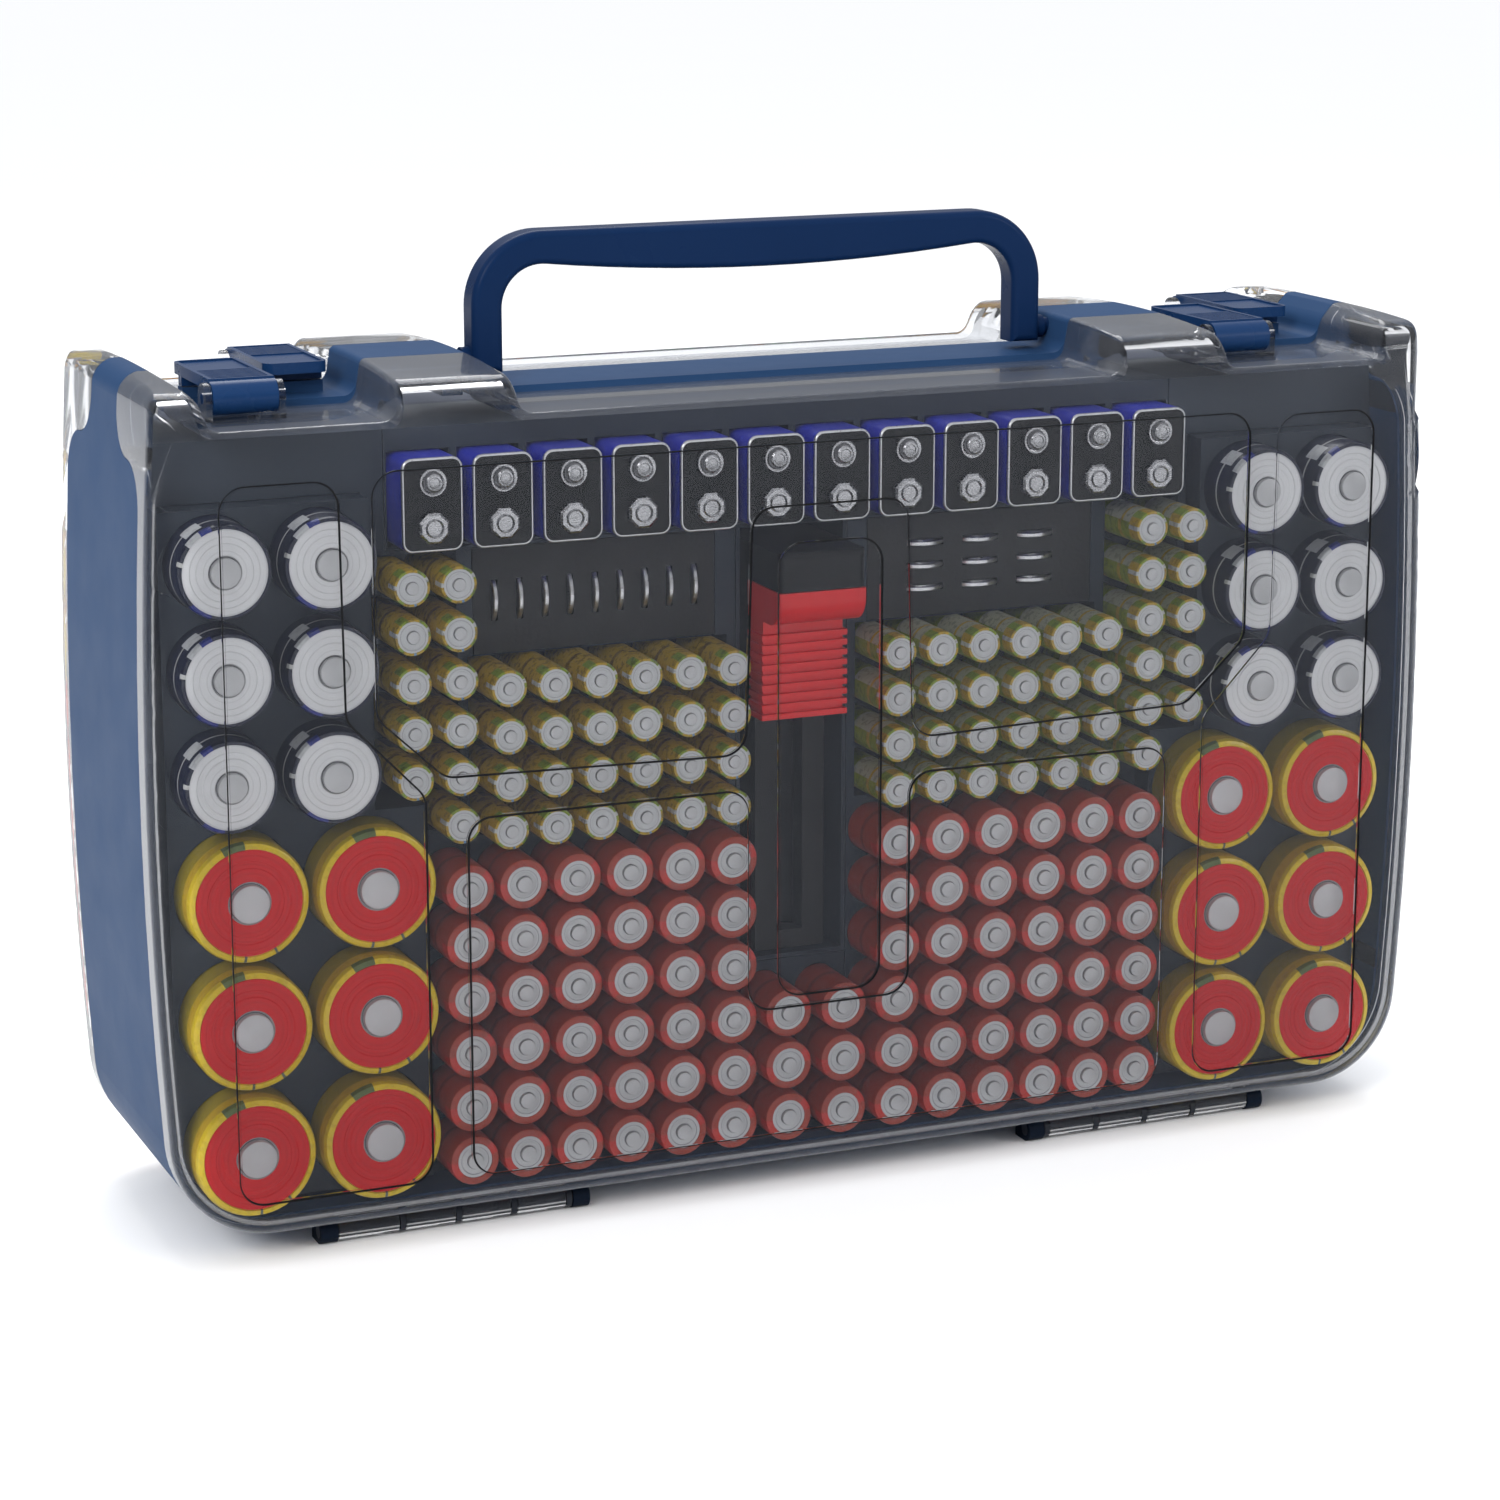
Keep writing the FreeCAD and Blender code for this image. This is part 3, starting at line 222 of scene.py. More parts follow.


# Cover plastic: clear and slightly smoked. It lets light straight through, mirrors more and looks denser at a
# slant, and the pressed lines on the flat faces are painted near black along one side of their floor, as painted
# shade for the dark look of the grooves
cover = {"line": 0.97, "lineEdge": 0.42, "linePaintedShade": (0.002, 0.002, 0.003), "mirror": 1.30, "square": 0.012,
         "inner": 0.72, "streak": 45.0, "streakHaze": 0.02, "streakRough": 0.05, "rough": 0.04, "bodyRough": 0.3}
frontClear = {"tint": (0.955, 0.957, 0.963), "body": (0.082, 0.092, 0.116), "smoke": 0.07, "slant": 0.85}
rearClear = {"tint": (0.955, 0.958, 0.965), "body": (0.30, 0.33, 0.38), "smoke": 0.015, "slant": 0.22}


def clearPlastic(name, smoked):
    f = Finish(name)
    inLine = f.trait("lineShare") > cover["lineEdge"]
    streak = f.noise(cover["streak"], 3.0)
    slant = f.node("ShaderNodeLayerWeight", values={"Blend": 0.5}, output="Facing")
    dense = smoked["smoke"] + slant * slant * smoked["slant"]
    haze = dense + inLine * cover["line"] + (streak - 0.5) * cover["streakHaze"]
    through = f.node("ShaderNodeBsdfTransparent", values={"Color": smoked["tint"]})
    # painted shade: the groove floors are painted near black
    solid = f.skin(f.mix(inLine, smoked["body"], cover["linePaintedShade"]), cover["bodyRough"], Specular_IOR_Level=0.1)
    body = f.node("ShaderNodeMixShader", values={0: haze, 1: through, 2: solid})
    facing = f.node("ShaderNodeFresnel", values={"IOR": cover["mirror"]})
    mirror = f.skin((1.0, 1.0, 1.0), cover["rough"] + streak * cover["streakRough"], Metallic=1.0)
    gloss = (facing - cover["square"]) * (1 - (f.trait("innerShare") > 0.5) * cover["inner"])
    return f.done(f.node("ShaderNodeMixShader", values={0: gloss, 1: body, 2: mirror}))


# The case frame takes painted shade: darker below 8 mm near the floor, and a darker slate on its inside within the
# case
navy = mouldedPlastic("navyPlastic", (0.017, 0.046, 0.112), 0.42, 0.001, gloss=0.025, foot=8.0,
                      inside={"side": 191.5, "low": 40.0, "high": 222.0, "shade": (0.020, 0.028, 0.042)})
navySatin = mouldedPlastic("navySatin", (0.0035, 0.016, 0.056), 0.30, 0.001, gloss=0.04)
latchNavy = mouldedPlastic("latchNavy", (0.006, 0.028, 0.090), 0.28, 0.001, gloss=0.10)
rodSlate = mouldedPlastic("rodSlate", (0.012, 0.015, 0.022), 0.32, 0.001, gloss=0.2)
rackPlastic = mouldedPlastic("rackPlastic", (0.031, 0.040, 0.055), 0.50, 0.0004, gloss=0.2)
trayPlastic = mouldedPlastic("trayPlastic", (0.020, 0.031, 0.066), 0.5, 0.0005, gloss=0.2)
testerBlack = mouldedPlastic("testerBlack", (0.010, 0.010, 0.010), 0.42, 0.0004, gloss=0.2)
testerRed = mouldedPlastic("testerRed", (0.74, 0.008, 0.010), 0.36, 0.0006, 0.1)
steel = bareMetal("brightSteel", (0.66, 0.66, 0.67), 0.3)
dullSteel = bareMetal("dullSteel", (0.66, 0.66, 0.665), 0.46, 0.35)
# Dark steel is painted shade: it goes only where shade falls, in the groove at a nub's foot, under stud heads and in
# sockets
paintedShadeSteel = bareMetal("paintedShadeSteel", (0.20, 0.20, 0.21), 0.4, 0.4)
snapSteel = bareMetal("snapSteel", (0.46, 0.46, 0.47), 0.26)
smokedClear = clearPlastic("smokedClear", frontClear)
paleClear = clearPlastic("paleClear", rearClear)
print("plastic and metal finishes made")


# Foam panel round the coin cells: open pores, dull
foam = {"pores": 700.0, "broad": 90.0, "dark": (0.006, 0.006, 0.006), "light": (0.045, 0.045, 0.046),
        "rough": 0.72, "depth": 0.12}


def foamPanel():
    f = Finish("coinPanel")
    pores = f.noise(foam["pores"], 3.0)
    broad = f.noise(foam["broad"], 2.0)
    return f.done(f.skin(f.mix(pores * broad, foam["dark"], foam["light"]), foam["rough"],
                         f.bump(pores, foam["depth"])))


# End disc of a cell: pressed metal under paint, with thin darker lines painted where it is stepped, as painted shade
# at the steps, at shares of the radius
discPaint = {"worn": 420.0, "wornShade": 0.1, "wornRough": 0.12, "dark": 0.30, "gloss": 0.2}


def endDisc(name, shade, rough, metal=0.0, lines=(0.5,), depth=0.4, width=0.012):
    f = Finish(name)
    ring = f.trait("ringShare")
    # painted shade: thin dark lines at the steps of the disc
    drawn = sum((abs(ring - line) < width) * depth for line in lines)
    worn = f.noise(discPaint["worn"], 2.0)
    dark = tuple(c * discPaint["dark"] for c in shade)
    return f.done(f.skin(f.mix(drawn + worn * discPaint["wornShade"], shade, dark),
                         rough + worn * discPaint["wornRough"], Metallic=metal,
                         Specular_IOR_Level=discPaint["gloss"]))


# Printed sleeve: plain blocks of colour round the shoulder, wide bands along the side, and between two turns the
# bands of the print's other half. Specks of ink and each cell's own tone darken it
printed = {"inks": 620.0, "above": 0.56, "tone": 0.12, "share": 0.6, "dark": (0.003, 0.003, 0.003), "swing": 0.1,
           "shrink": 240.0, "stretch": (1.0, 0.2, 1.0), "depth": 0.006}


def sleeve(name, shoulder, side, rough=0.34, edge=0.10, half=None, speck=0.22):
    p = printed
    f = Finish(name)
    turn, depth = f.wrap()
    along = f.bands(depth, side)
    if half:
        along = f.mix((turn > half[0]) * (turn < half[1]), along, f.bands(depth, half[2]))
    inks = f.noise(p["inks"], 2.0)
    colour = f.mix(depth > edge, f.bands(turn, shoulder), along)
    darker = (inks > p["above"]) * speck + f.trait("tone") * p["tone"]
    colour = f.mix(darker, colour, f.mix(p["share"], colour, p["dark"]))
    shrink = f.noise(p["shrink"], 2.0, p["stretch"])
    return f.done(f.skin(colour, rough + (inks - 0.5) * p["swing"], f.bump(shrink, p["depth"]), Coat_Weight=0.25,
                         Coat_Roughness=0.12, Specular_IOR_Level=0.3))


# Sizes of the cells: radius, overall length, nub radius, nub height, end disc radius
cells = {
    "D": {"radius": 17.1, "length": 61.5, "nub": 5.3, "rise": 1.3, "disc": 14.95, "sides": 56},
    "C": {"radius": 13.1, "length": 50.0, "nub": 4.1, "rise": 1.2, "disc": 12.45, "sides": 48},
    "AA": {"radius": 7.25, "length": 50.5, "nub": 2.2, "rise": 0.8, "disc": 5.05, "sides": 24},
    "AAA": {"radius": 5.25, "length": 44.5, "nub": 1.75, "rise": 0.7, "disc": 4.4, "sides": 22},
    "long": {"radius": 10.3, "length": 80.4, "nub": 3.2, "rise": 1.4, "disc": 8.0, "sides": 36},
    "medium": {"radius": 7.1, "length": 64.4, "nub": 2.6, "rise": 1.2, "disc": 5.2, "sides": 28},
    "short": {"radius": 8.7, "length": 27.8, "nub": 2.8, "rise": 1.2, "disc": 6.8, "sides": 32},
    "wide": {"radius": 10.0, "length": 36.0, "nub": 3.4, "rise": 1.3, "disc": 7.8, "sides": 36},
    "centre": {"radius": 7.3, "length": 24.5, "nub": 2.6, "rise": 1.0, "disc": 5.6, "sides": 28},
    "slim": {"radius": 4.15, "length": 43.0, "nub": 1.5, "rise": 0.9, "disc": 3.0, "sides": 22},
    "rearAAA": {"radius": 5.2, "length": 44.4, "nub": 1.9, "rise": 1.0, "disc": 3.5, "sides": 22},
    "mini": {"radius": 4.9, "length": 29.6, "nub": 1.8, "rise": 0.9, "disc": 3.4, "sides": 22},
}
nubBand, nubFootShadeBand, discBand, sleeveBand, backBand = range(5)


# Profile of a cell as rows of radius, depth behind the tip, and the band that starts there: a rounded nub, a thin
# groove ring round its foot in dark steel as painted shade, its bright foot ring, a disc with one pressed ring, the
# sleeve rolled over the shoulder, the flat back
def cellProfile(size):
    big, end, nub, rise, disc = size["radius"], size["length"], size["nub"], size["rise"], size["disc"]
    relief = 0.018 * big
    ringIn, ringOut = nub + (disc - nub) * 0.46, nub + (disc - nub) * 0.66
    foot = nub + 0.045 * big
    return np.array([
        (nub * 0.90, 0.0, nubBand), (nub * 0.98, rise * 0.10, nubBand), (nub, rise * 0.3, nubBand),
        (nub, rise + relief * 2.0, nubFootShadeBand), (nub + 0.018 * big, rise + relief * 2.0, nubBand),
        (foot, rise + relief * 0.4, discBand), (ringIn - 0.01 * big, rise + relief, discBand),
        (ringIn + 0.01 * big, rise + relief * 1.9, discBand), (ringOut - 0.01 * big, rise + relief * 1.9, discBand),
        (ringOut + 0.01 * big, rise + relief, discBand), (disc - 0.01 * big, rise + relief, discBand),
        (disc, rise + relief * 1.6, sleeveBand), (disc + 0.012 * big, rise + 0.02, sleeveBand),
        (big - 0.10 * big, rise + 0.02, sleeveBand), (big - 0.03 * big, rise + 0.03 * big, sleeveBand),
        (big, rise + 0.10 * big, sleeveBand), (big, end - 0.08 * big, sleeveBand),
        (big - 0.06 * big, end - 0.02, backBand), (big * 0.5, end - 0.02, backBand),
    ])


# A finished piece rides its body, and hides the imported node that it stands in for, if any
def addPiece(piece, body, node=None):
    bpy.context.scene.collection.objects.link(piece)
    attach(piece, body)
    if node:
        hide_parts(node)
        row = next(part for part in frame["record"]["subparts"] if part["node"] == node)


# Values on the points of a mesh, for its material to read
def setTrait(mesh, name, values):
    mesh.attributes.new(name, "FLOAT", "POINT").data.foreach_set("value", values.astype(np.float32).ravel())


# Puts vertices, faces of any size and their slots into a mesh, with its finish list and body
def makePiece(name, points, faces, slots, finishes, body, node=None, crease=35.0):
    mesh = bpy.data.meshes.new(name)
    counts = np.concatenate([np.full(len(f), f.shape[1]) for f in faces])
    corners = np.concatenate([f.ravel() for f in faces])
    mesh.vertices.add(len(points))
    mesh.vertices.foreach_set("co", np.asarray(points, np.float32).ravel())
    mesh.loops.add(len(corners))
    mesh.loops.foreach_set("vertex_index", corners.astype(np.int32))
    mesh.polygons.add(len(counts))
    mesh.polygons.foreach_set("loop_start", np.concatenate([[0], np.cumsum(counts)[:-1]]).astype(np.int32))
    mesh.polygons.foreach_set("material_index", np.asarray(slots, np.int32))
    mesh.update(calc_edges=True)
    for finish in finishes:
        mesh.materials.append(finish)
    mesh.shade_smooth()
    mesh.set_sharp_from_angle(angle=math.radians(crease))
    addPiece(bpy.data.objects.new(name, mesh), body, node)
    return mesh


# Shares from 0 to 1 that differ from each cell to the next, one row for the print's tone and one for its turn
steps = {"tone": 0.618, "turn": 0.377, "lean": 0.03}


def spread(count, key):
    return np.arange(count) * steps[key] % 1.0


# Turned solids: each profile point (r, d) goes round its cell's axis, at tip - d * along
# + r * (cos t * right + sin t * up), for every cell at once. The wrap holds t as a share of a turn and d as a
# share of the length
def turned(name, profile, sides, tips, along, right, up, finishes, body, node, tilt=None, crease=35.0):
    tips, along, right, up = (np.atleast_2d(np.asarray(v, float)) for v in (tips, along, right, up))
    count, rows = len(tips), len(profile)
    t = np.arange(sides) / sides * 2 * math.pi
    r, d = profile[:, 0] * mm, profile[:, 1] * mm
    spokes = np.cos(t)[None, :, None] * right[:, None, :] + np.sin(t)[None, :, None] * up[:, None, :]
    points = (tips[:, None, None, :] * mm - d[None, :, None, None] * along[:, None, None, :]
              + r[None, :, None, None] * spokes[:, None, :, :])
    index = np.arange(count * rows * sides).reshape(count, rows, sides)
    after = np.roll(index, -1, axis=2)
    quads = np.stack([index[:, :-1], after[:, :-1], after[:, 1:], index[:, 1:]], axis=-1).reshape(-1, 4)
    fronts, backs = index[:, 0, ::-1], index[:, -1, :]
    band = profile[:, 2].astype(int)
    slots = np.concatenate([np.broadcast_to(band[None, :-1, None], (count, rows - 1, sides)).ravel(),
                            np.full(count, band[0]), np.full(count, band[-1])])
    mesh = makePiece(name, points.reshape(-1, 3), [quads[:, ::-1], fronts[:, ::-1], backs[:, ::-1]], slots,
                     finishes, body, node, crease)
    start = np.zeros(count) if tilt is None else tilt
    share = np.arange(sides) / sides
    u = (share[None, None, :] + start[:, None, None]) % 1.0
    u0 = np.broadcast_to(u, (count, rows - 1, sides))
    depth = np.broadcast_to((profile[:, 1] / profile[-1, 1])[None, :, None], (count, rows, sides))
    uQuad = np.stack([u0, u0 + 1.0 / sides, u0 + 1.0 / sides, u0], axis=-1)
    vQuad = np.stack([depth[:, :-1], depth[:, :-1], depth[:, 1:], depth[:, 1:]], axis=-1)
    wrapQuad = np.stack([uQuad, vQuad], axis=-1)[..., ::-1, :].reshape(-1, 2)
    caps = np.zeros((count * sides * 2, 2))
    wrap = np.concatenate([wrapQuad, caps]).astype(np.float32)
    mesh.uv_layers.new(name="wrap").data.foreach_set("uv", wrap.ravel())
    ring, tone = profile[:, 0] / profile[:, 0].max(), spread(count, "tone")
    setTrait(mesh, "ringShare", np.broadcast_to(ring[None, :, None], (count, rows, sides)))
    setTrait(mesh, "tone", np.broadcast_to(tone[:, None, None], (count, rows, sides)))


acrossX, acrossY, acrossZ = np.eye(3)


# The second finish, dark steel, is painted shade on the groove ring at the nub's foot
def cellFinishes(disc, paint):
    return [dullSteel, paintedShadeSteel, disc, paint, steel]


# Front cells by block: the first column's distance from the middle and the first row's height, the steps from
# there, and the depth of the tips
front = {
    "D": {"x": 168.9, "z": 29.9, "stepX": -36.4, "stepZ": 36.4, "tip": -47.0},
    "C": {"x": 172.8, "z": 135.4, "stepX": -29.3, "stepZ": 29.3, "tip": -47.0},
    "AA": {"x": 25.9, "z": 19.5, "stepX": 15.85, "stepZ": 15.85, "tip": -44.0},
    "AAMiddle": {"x": 8.73, "z": 19.5, "stepX": 0.0, "stepZ": 15.85},
    "AAA": {"x": 25.8, "z": 114.3, "stepX": 13.4, "stepZ": 13.55, "tip": -44.0},
    "AAAOuter": {"x": 106.9, "z": 185.2, "stepX": 13.4, "stepZ": -13.55},
}


# Places of a block on both sides, as across and height, for the number of rows in each column
def columns(block, rows):
    b = front[block]
    return [(side * (b["x"] + i * b["stepX"]), b["z"] + j * b["stepZ"])
            for side in (-1, 1) for i, count in enumerate(rows) for j in range(count)]


def frontCells(name, size, places, disc, paint, node):
    tips = np.array([(x, front[size]["tip"], z) for x, z in places])
    lean = (spread(len(tips), "turn") - 0.5) * steps["lean"]
    turned(name, cellProfile(cells[size]), cells[size]["sides"], tips, -acrossY, acrossX, acrossZ,
           cellFinishes(disc, paint), "case", node, lean)


dPlaces = columns("D", (3, 3))
cPlaces = columns("C", (3, 3))
aaPlaces = columns("AA", (6,) * 6) + columns("AAMiddle", (3,))
aaaPlaces = columns("AAA", (4,) * 6) + columns("AAAOuter", (6, 5))

yellow, shadedYellow, shadedMustard = (0.80, 0.58, 0.012), (0.62, 0.40, 0.010), (0.36, 0.27, 0.012)
olive, paleOlive, leafy, darkGreen = (0.27, 0.32, 0.012), (0.44, 0.44, 0.30), (0.24, 0.33, 0.020), (0.13, 0.17, 0.05)
gold, deepGold, skyBlue = (0.52, 0.34, 0.02), (0.24, 0.15, 0.012), (0.16, 0.30, 0.50)
brick, deepBrick, scarlet = (0.40, 0.048, 0.022), (0.26, 0.030, 0.014), (0.60, 0.035, 0.020)
ink, blueInk, slate = (0.004, 0.007, 0.030), (0.010, 0.020, 0.22), (0.12, 0.15, 0.12)
pale, silver, tin = (0.55, 0.55, 0.53), (0.56, 0.57, 0.58), (0.60, 0.605, 0.61)

# The D sleeve's side bands darken from deep yellow to mustard and olive further back along the cell: painted shade,
# deeper in the case
dSleeve = sleeve("sleeveD", [(0.0, yellow), (0.265, darkGreen), (0.325, yellow), (0.738, slate), (0.744, yellow),
                             (0.825, slate), (0.835, yellow)],
                 [(0.0, shadedYellow), (0.12, shadedMustard), (0.30, olive), (0.46, shadedMustard)], edge=0.052)
cSleeve = sleeve("sleeveC", [(0.0, ink), (0.30, blueInk), (0.34, silver), (0.40, ink), (0.46, pale), (0.475, ink),
                             (0.62, blueInk), (0.70, ink)],
                 [(0.0, ink), (0.16, pale), (0.175, ink), (0.34, blueInk), (0.38, ink), (0.60, pale), (0.62, ink)],
                 edge=0.052, half=(0.32, 0.385, [(0.0, ink), (0.09, silver), (0.22, ink)]))
aaSleeve = sleeve("sleeveAA", [(0.0, brick), (0.02, scarlet), (0.12, brick), (0.3, brick), (0.5, scarlet),
                               (0.62, brick)],
                  [(0.0, brick), (0.2, deepBrick), (0.24, brick), (0.5, deepBrick)])
aaaShoulder = [(0.0, olive), (0.05, pale), (0.09, leafy), (0.19, gold), (0.30, leafy), (0.38, gold), (0.46, pale),
               (0.50, gold), (0.60, leafy), (0.66, gold), (0.76, skyBlue), (0.785, gold), (0.86, leafy), (0.93, gold)]
aaaSleeve = sleeve("sleeveAAA", aaaShoulder, [(0.0, gold), (0.22, deepGold), (0.26, gold), (0.5, deepGold)],
                   edge=0.13, half=(0.28, 0.72, [(0.0, gold), (0.30, deepGold), (0.34, gold)]), speck=0.7)
aaaPaleSleeve = sleeve("sleeveAAAPale", aaaShoulder, [(0.0, olive), (0.24, gold), (0.28, olive), (0.5, gold)],
                       edge=0.13, speck=0.55,
                       half=(0.06, 0.44, [(0.0, paleOlive), (0.22, gold), (0.25, paleOlive), (0.5, olive)]))
redDisc = endDisc("redDisc", (0.72, 0.012, 0.012), 0.40, lines=(0.49, 0.64, 0.78), depth=0.25)
whiteDisc = endDisc("whiteDisc", (0.84, 0.84, 0.845), 0.46, lines=(0.45, 0.60, 0.74, 0.88), depth=0.16)
aaDisc = endDisc("aaDisc", tin, 0.36, 0.3, lines=(0.56,), depth=0.6, width=0.014)
aaaDisc = endDisc("aaaDisc", tin, 0.36, 0.3, lines=(0.70,), depth=0.6, width=0.017)
steelDisc = endDisc("steelDisc", tin, 0.36, 0.3, lines=(0.6,), depth=0.6)

frontCells("cellsD", "D", dPlaces, redDisc, dSleeve, "cells_d")
frontCells("cellsC", "C", cPlaces, whiteDisc, cSleeve, "cells_c")
frontCells("cellsAA", "AA", aaPlaces, aaDisc, aaSleeve, "cells_aa")
for half, name, paint in ((-1, "cellsAAALeft", aaaSleeve), (1, "cellsAAARight", aaaPaleSleeve)):
    frontCells(name, "AAA", [place for place in aaaPlaces if place[0] * half > 0], aaaDisc, paint, "cells_aaa")
print("front cells made")

# Nine-volt cells: the same rounded rectangle carried from the back to the front, then drawn in for the silver
# seam and the sunk black panel
nineVolt = {"width": 17.5, "height": 26.0, "length": 46.4, "corner": 3.0, "face": -36.8, "centre": 206.5,
            "pitch": 20.34, "count": 12, "snap": 6.3, "snapRise": 2.3}


# Rounded rectangle: a quarter circle about each corner centre, for the half sizes and the radius
def roundedRing(halfWidth, halfHeight, radius, perCorner=6):
    t = np.linspace(0, math.pi / 2, perCorner)
    quarter = np.concatenate([t + k * math.pi / 2 for k in range(4)])
    signX = np.repeat([1, -1, -1, 1], perCorner)
    signZ = np.repeat([1, 1, -1, -1], perCorner)
    return np.stack([signX * (halfWidth - radius) + radius * np.cos(quarter),
                     signZ * (halfHeight - radius) + radius * np.sin(quarter)], axis=-1)


# Blue foil: printed specks near the front only
foil = {"blue": (0.009, 0.016, 0.38), "light": (0.02, 0.035, 0.50), "specks": 300.0, "above": 0.62, "front": -12.0}


def blueWrap():
    f = Finish("blueWrap")
    specks = f.noise(foil["specks"], 2.0)
    patch = (f.axes()[1] < foil["front"] * mm) * (specks > foil["above"])
    colour = f.mix(patch, foil["blue"], foil["light"])
    return f.done(f.skin(colour, 0.3 + specks * 0.1, f.bump(specks, 0.015), Coat_Weight=0.3, Coat_Roughness=0.08))


def nineVoltCells():
    n = nineVolt
    stations = [(0.0, n["length"], 0), (0.0, 0.8, 0), (0.06, 0.2, 1), (0.3, 0.0, 1), (0.6, 0.0, 1),
                (0.72, 0.3, 2), (5.0, 0.35, 2)]
    rings = []
    for inset, depth, _ in stations:
        radius = max(n["corner"] - inset, 0.5)
        ring = roundedRing(n["width"] / 2 - inset, n["height"] / 2 - inset, radius)
        rings.append(np.column_stack([ring[:, 0], np.full(len(ring), n["face"] + depth), ring[:, 1]]))
    one = np.stack(rings)
    centres = (np.arange(n["count"]) - (n["count"] - 1) / 2) * n["pitch"]
    shift = np.column_stack([centres, np.zeros(len(centres)), np.full(len(centres), n["centre"])])
    points = one[None] + shift[:, None, None, :]
    index = np.arange(points.size // 3).reshape(points.shape[:3])
    after = np.roll(index, -1, axis=2)
    quads = np.stack([index[:, :-1], index[:, 1:], after[:, 1:], after[:, :-1]], axis=-1).reshape(-1, 4)
    slots = np.broadcast_to(np.array([s[2] for s in stations[1:]])[None, :, None], index[:, 1:].shape).ravel()
    backs, fronts = index[:, 0], index[:, -1, ::-1]
    slots = np.concatenate([slots, np.zeros(len(centres)), np.full(len(centres), 2)])
    makePiece("nineVoltCells", points.reshape(-1, 3) * mm, [quads[:, ::-1], backs[:, ::-1], fronts[:, ::-1]], slots,
              [blueWrap(), steel, testerBlack], "case", "cells_nine_volt")
    tip = n["face"] - n["snapRise"]
    posts = np.column_stack([centres, np.full(len(centres), tip), np.full(len(centres), n["centre"] + n["snap"])])
    # The stud's neck under its head takes the dark steel finish: painted shade under the head
    stud = np.array([(1.15, 0.35, 0), (1.4, 0.3, 0), (1.6, 0.05, 0), (2.1, 0.0, 0), (2.5, 0.3, 0), (2.35, 0.9, 1),
                     (2.3, 1.5, 1), (2.8, 1.6, 0), (3.3, 1.35, 0), (3.8, 1.4, 0), (4.0, 1.7, 0), (4.0, 2.7, 0)])
    turned("nineVoltStuds", stud, 28, posts, -acrossY, acrossX, acrossZ, [snapSteel, paintedShadeSteel], "case", None)
    sockets = posts - 2 * n["snap"] * acrossZ
    # The inside of each socket's bowl takes the dark steel finish: painted shade in the hole
    bowl = np.array([(1.2, 1.3, 0), (1.45, 1.35, 1), (2.05, 1.5, 1), (2.1, 0.6, 0), (2.4, 0.3, 0), (2.6, 0.55, 0),
                     (2.6, 0.9, 0)])
    turned("nineVoltSockets", bowl, 24, sockets, -acrossY, acrossX, acrossZ, [snapSteel, paintedShadeSteel], "case", None)
    collar = np.array([(2.5, 0.8, 0), (3.9, 0.75, 0), (4.55, 1.25, 0), (4.6, 2.7, 0)])
    eighth = math.pi / 8
    right = math.cos(eighth) * acrossX + math.sin(eighth) * acrossZ
    up = math.cos(eighth) * acrossZ - math.sin(eighth) * acrossX
    turned("nineVoltCollars", collar, 8, sockets, -acrossY, right, up, [snapSteel], "case", None, crease=20.0)


nineVoltCells()
print("nine-volt cells made")

# Coin cells: a rolled can with a smaller lid, nine upright in the left panel and three rows of three in the right
coin = {"radius": 8.0, "thick": 1.6, "y": -18.2, "centre": 60.25, "height": 176.0, "pitch": 7.5, "pitchX": 17.8,
        "pitchZ": 6.7}


def coinCells():
    c = coin
    big, thick = c["radius"], c["thick"]
    profile = np.array([(big * 0.80, 0.0, 0), (big * 0.83, 0.0, 0), (big * 0.85, 0.22, 0), (big * 0.97, 0.25, 0),
                        (big, 0.5, 0), (big, thick - 0.25, 0), (big * 0.97, thick, 0), (big * 0.9, thick, 0)])
    upright = [(-c["centre"] + (i - 4) * c["pitch"] + thick / 2, c["y"], c["height"]) for i in range(9)]
    turned("coinsUpright", profile, 56, upright, acrossX, acrossY, acrossZ, [steel], "case", "coin_cells_left")
    flat = [(c["centre"] + i * c["pitchX"], c["y"], c["height"] + j * c["pitchZ"] + thick / 2)
            for i in (-1, 0, 1) for j in (-1, 0, 1)]
    turned("coinsFlat", profile, 56, flat, acrossZ, acrossX, acrossY, [steel], "case", "coin_cells_right")


coinCells()
print("coin cells made")


# Rear cells lie along the width, nubs towards the nearer end, with their axes at this depth
rearY = 36.5


def rearCells(name, size, entries, finishes, node):
    side = np.array([entry[2] for entry in entries], float)
    tips = np.array([(x + s * cells[size]["length"] / 2, rearY, z) for x, z, s in entries])
    along = side[:, None] * acrossX
    turned(name, cellProfile(cells[size]), cells[size]["sides"], tips, along, side[:, None] * acrossY,
           np.broadcast_to(acrossZ, along.shape), finishes, "case", node)


# Two stacks at the same distance from the middle: that distance, the top cell's height, the pitch and the rows
def pairRows(x, top, pitch, rows):
    return [(side * x, top - j * pitch, side) for side in (-1, 1) for j in range(rows)]


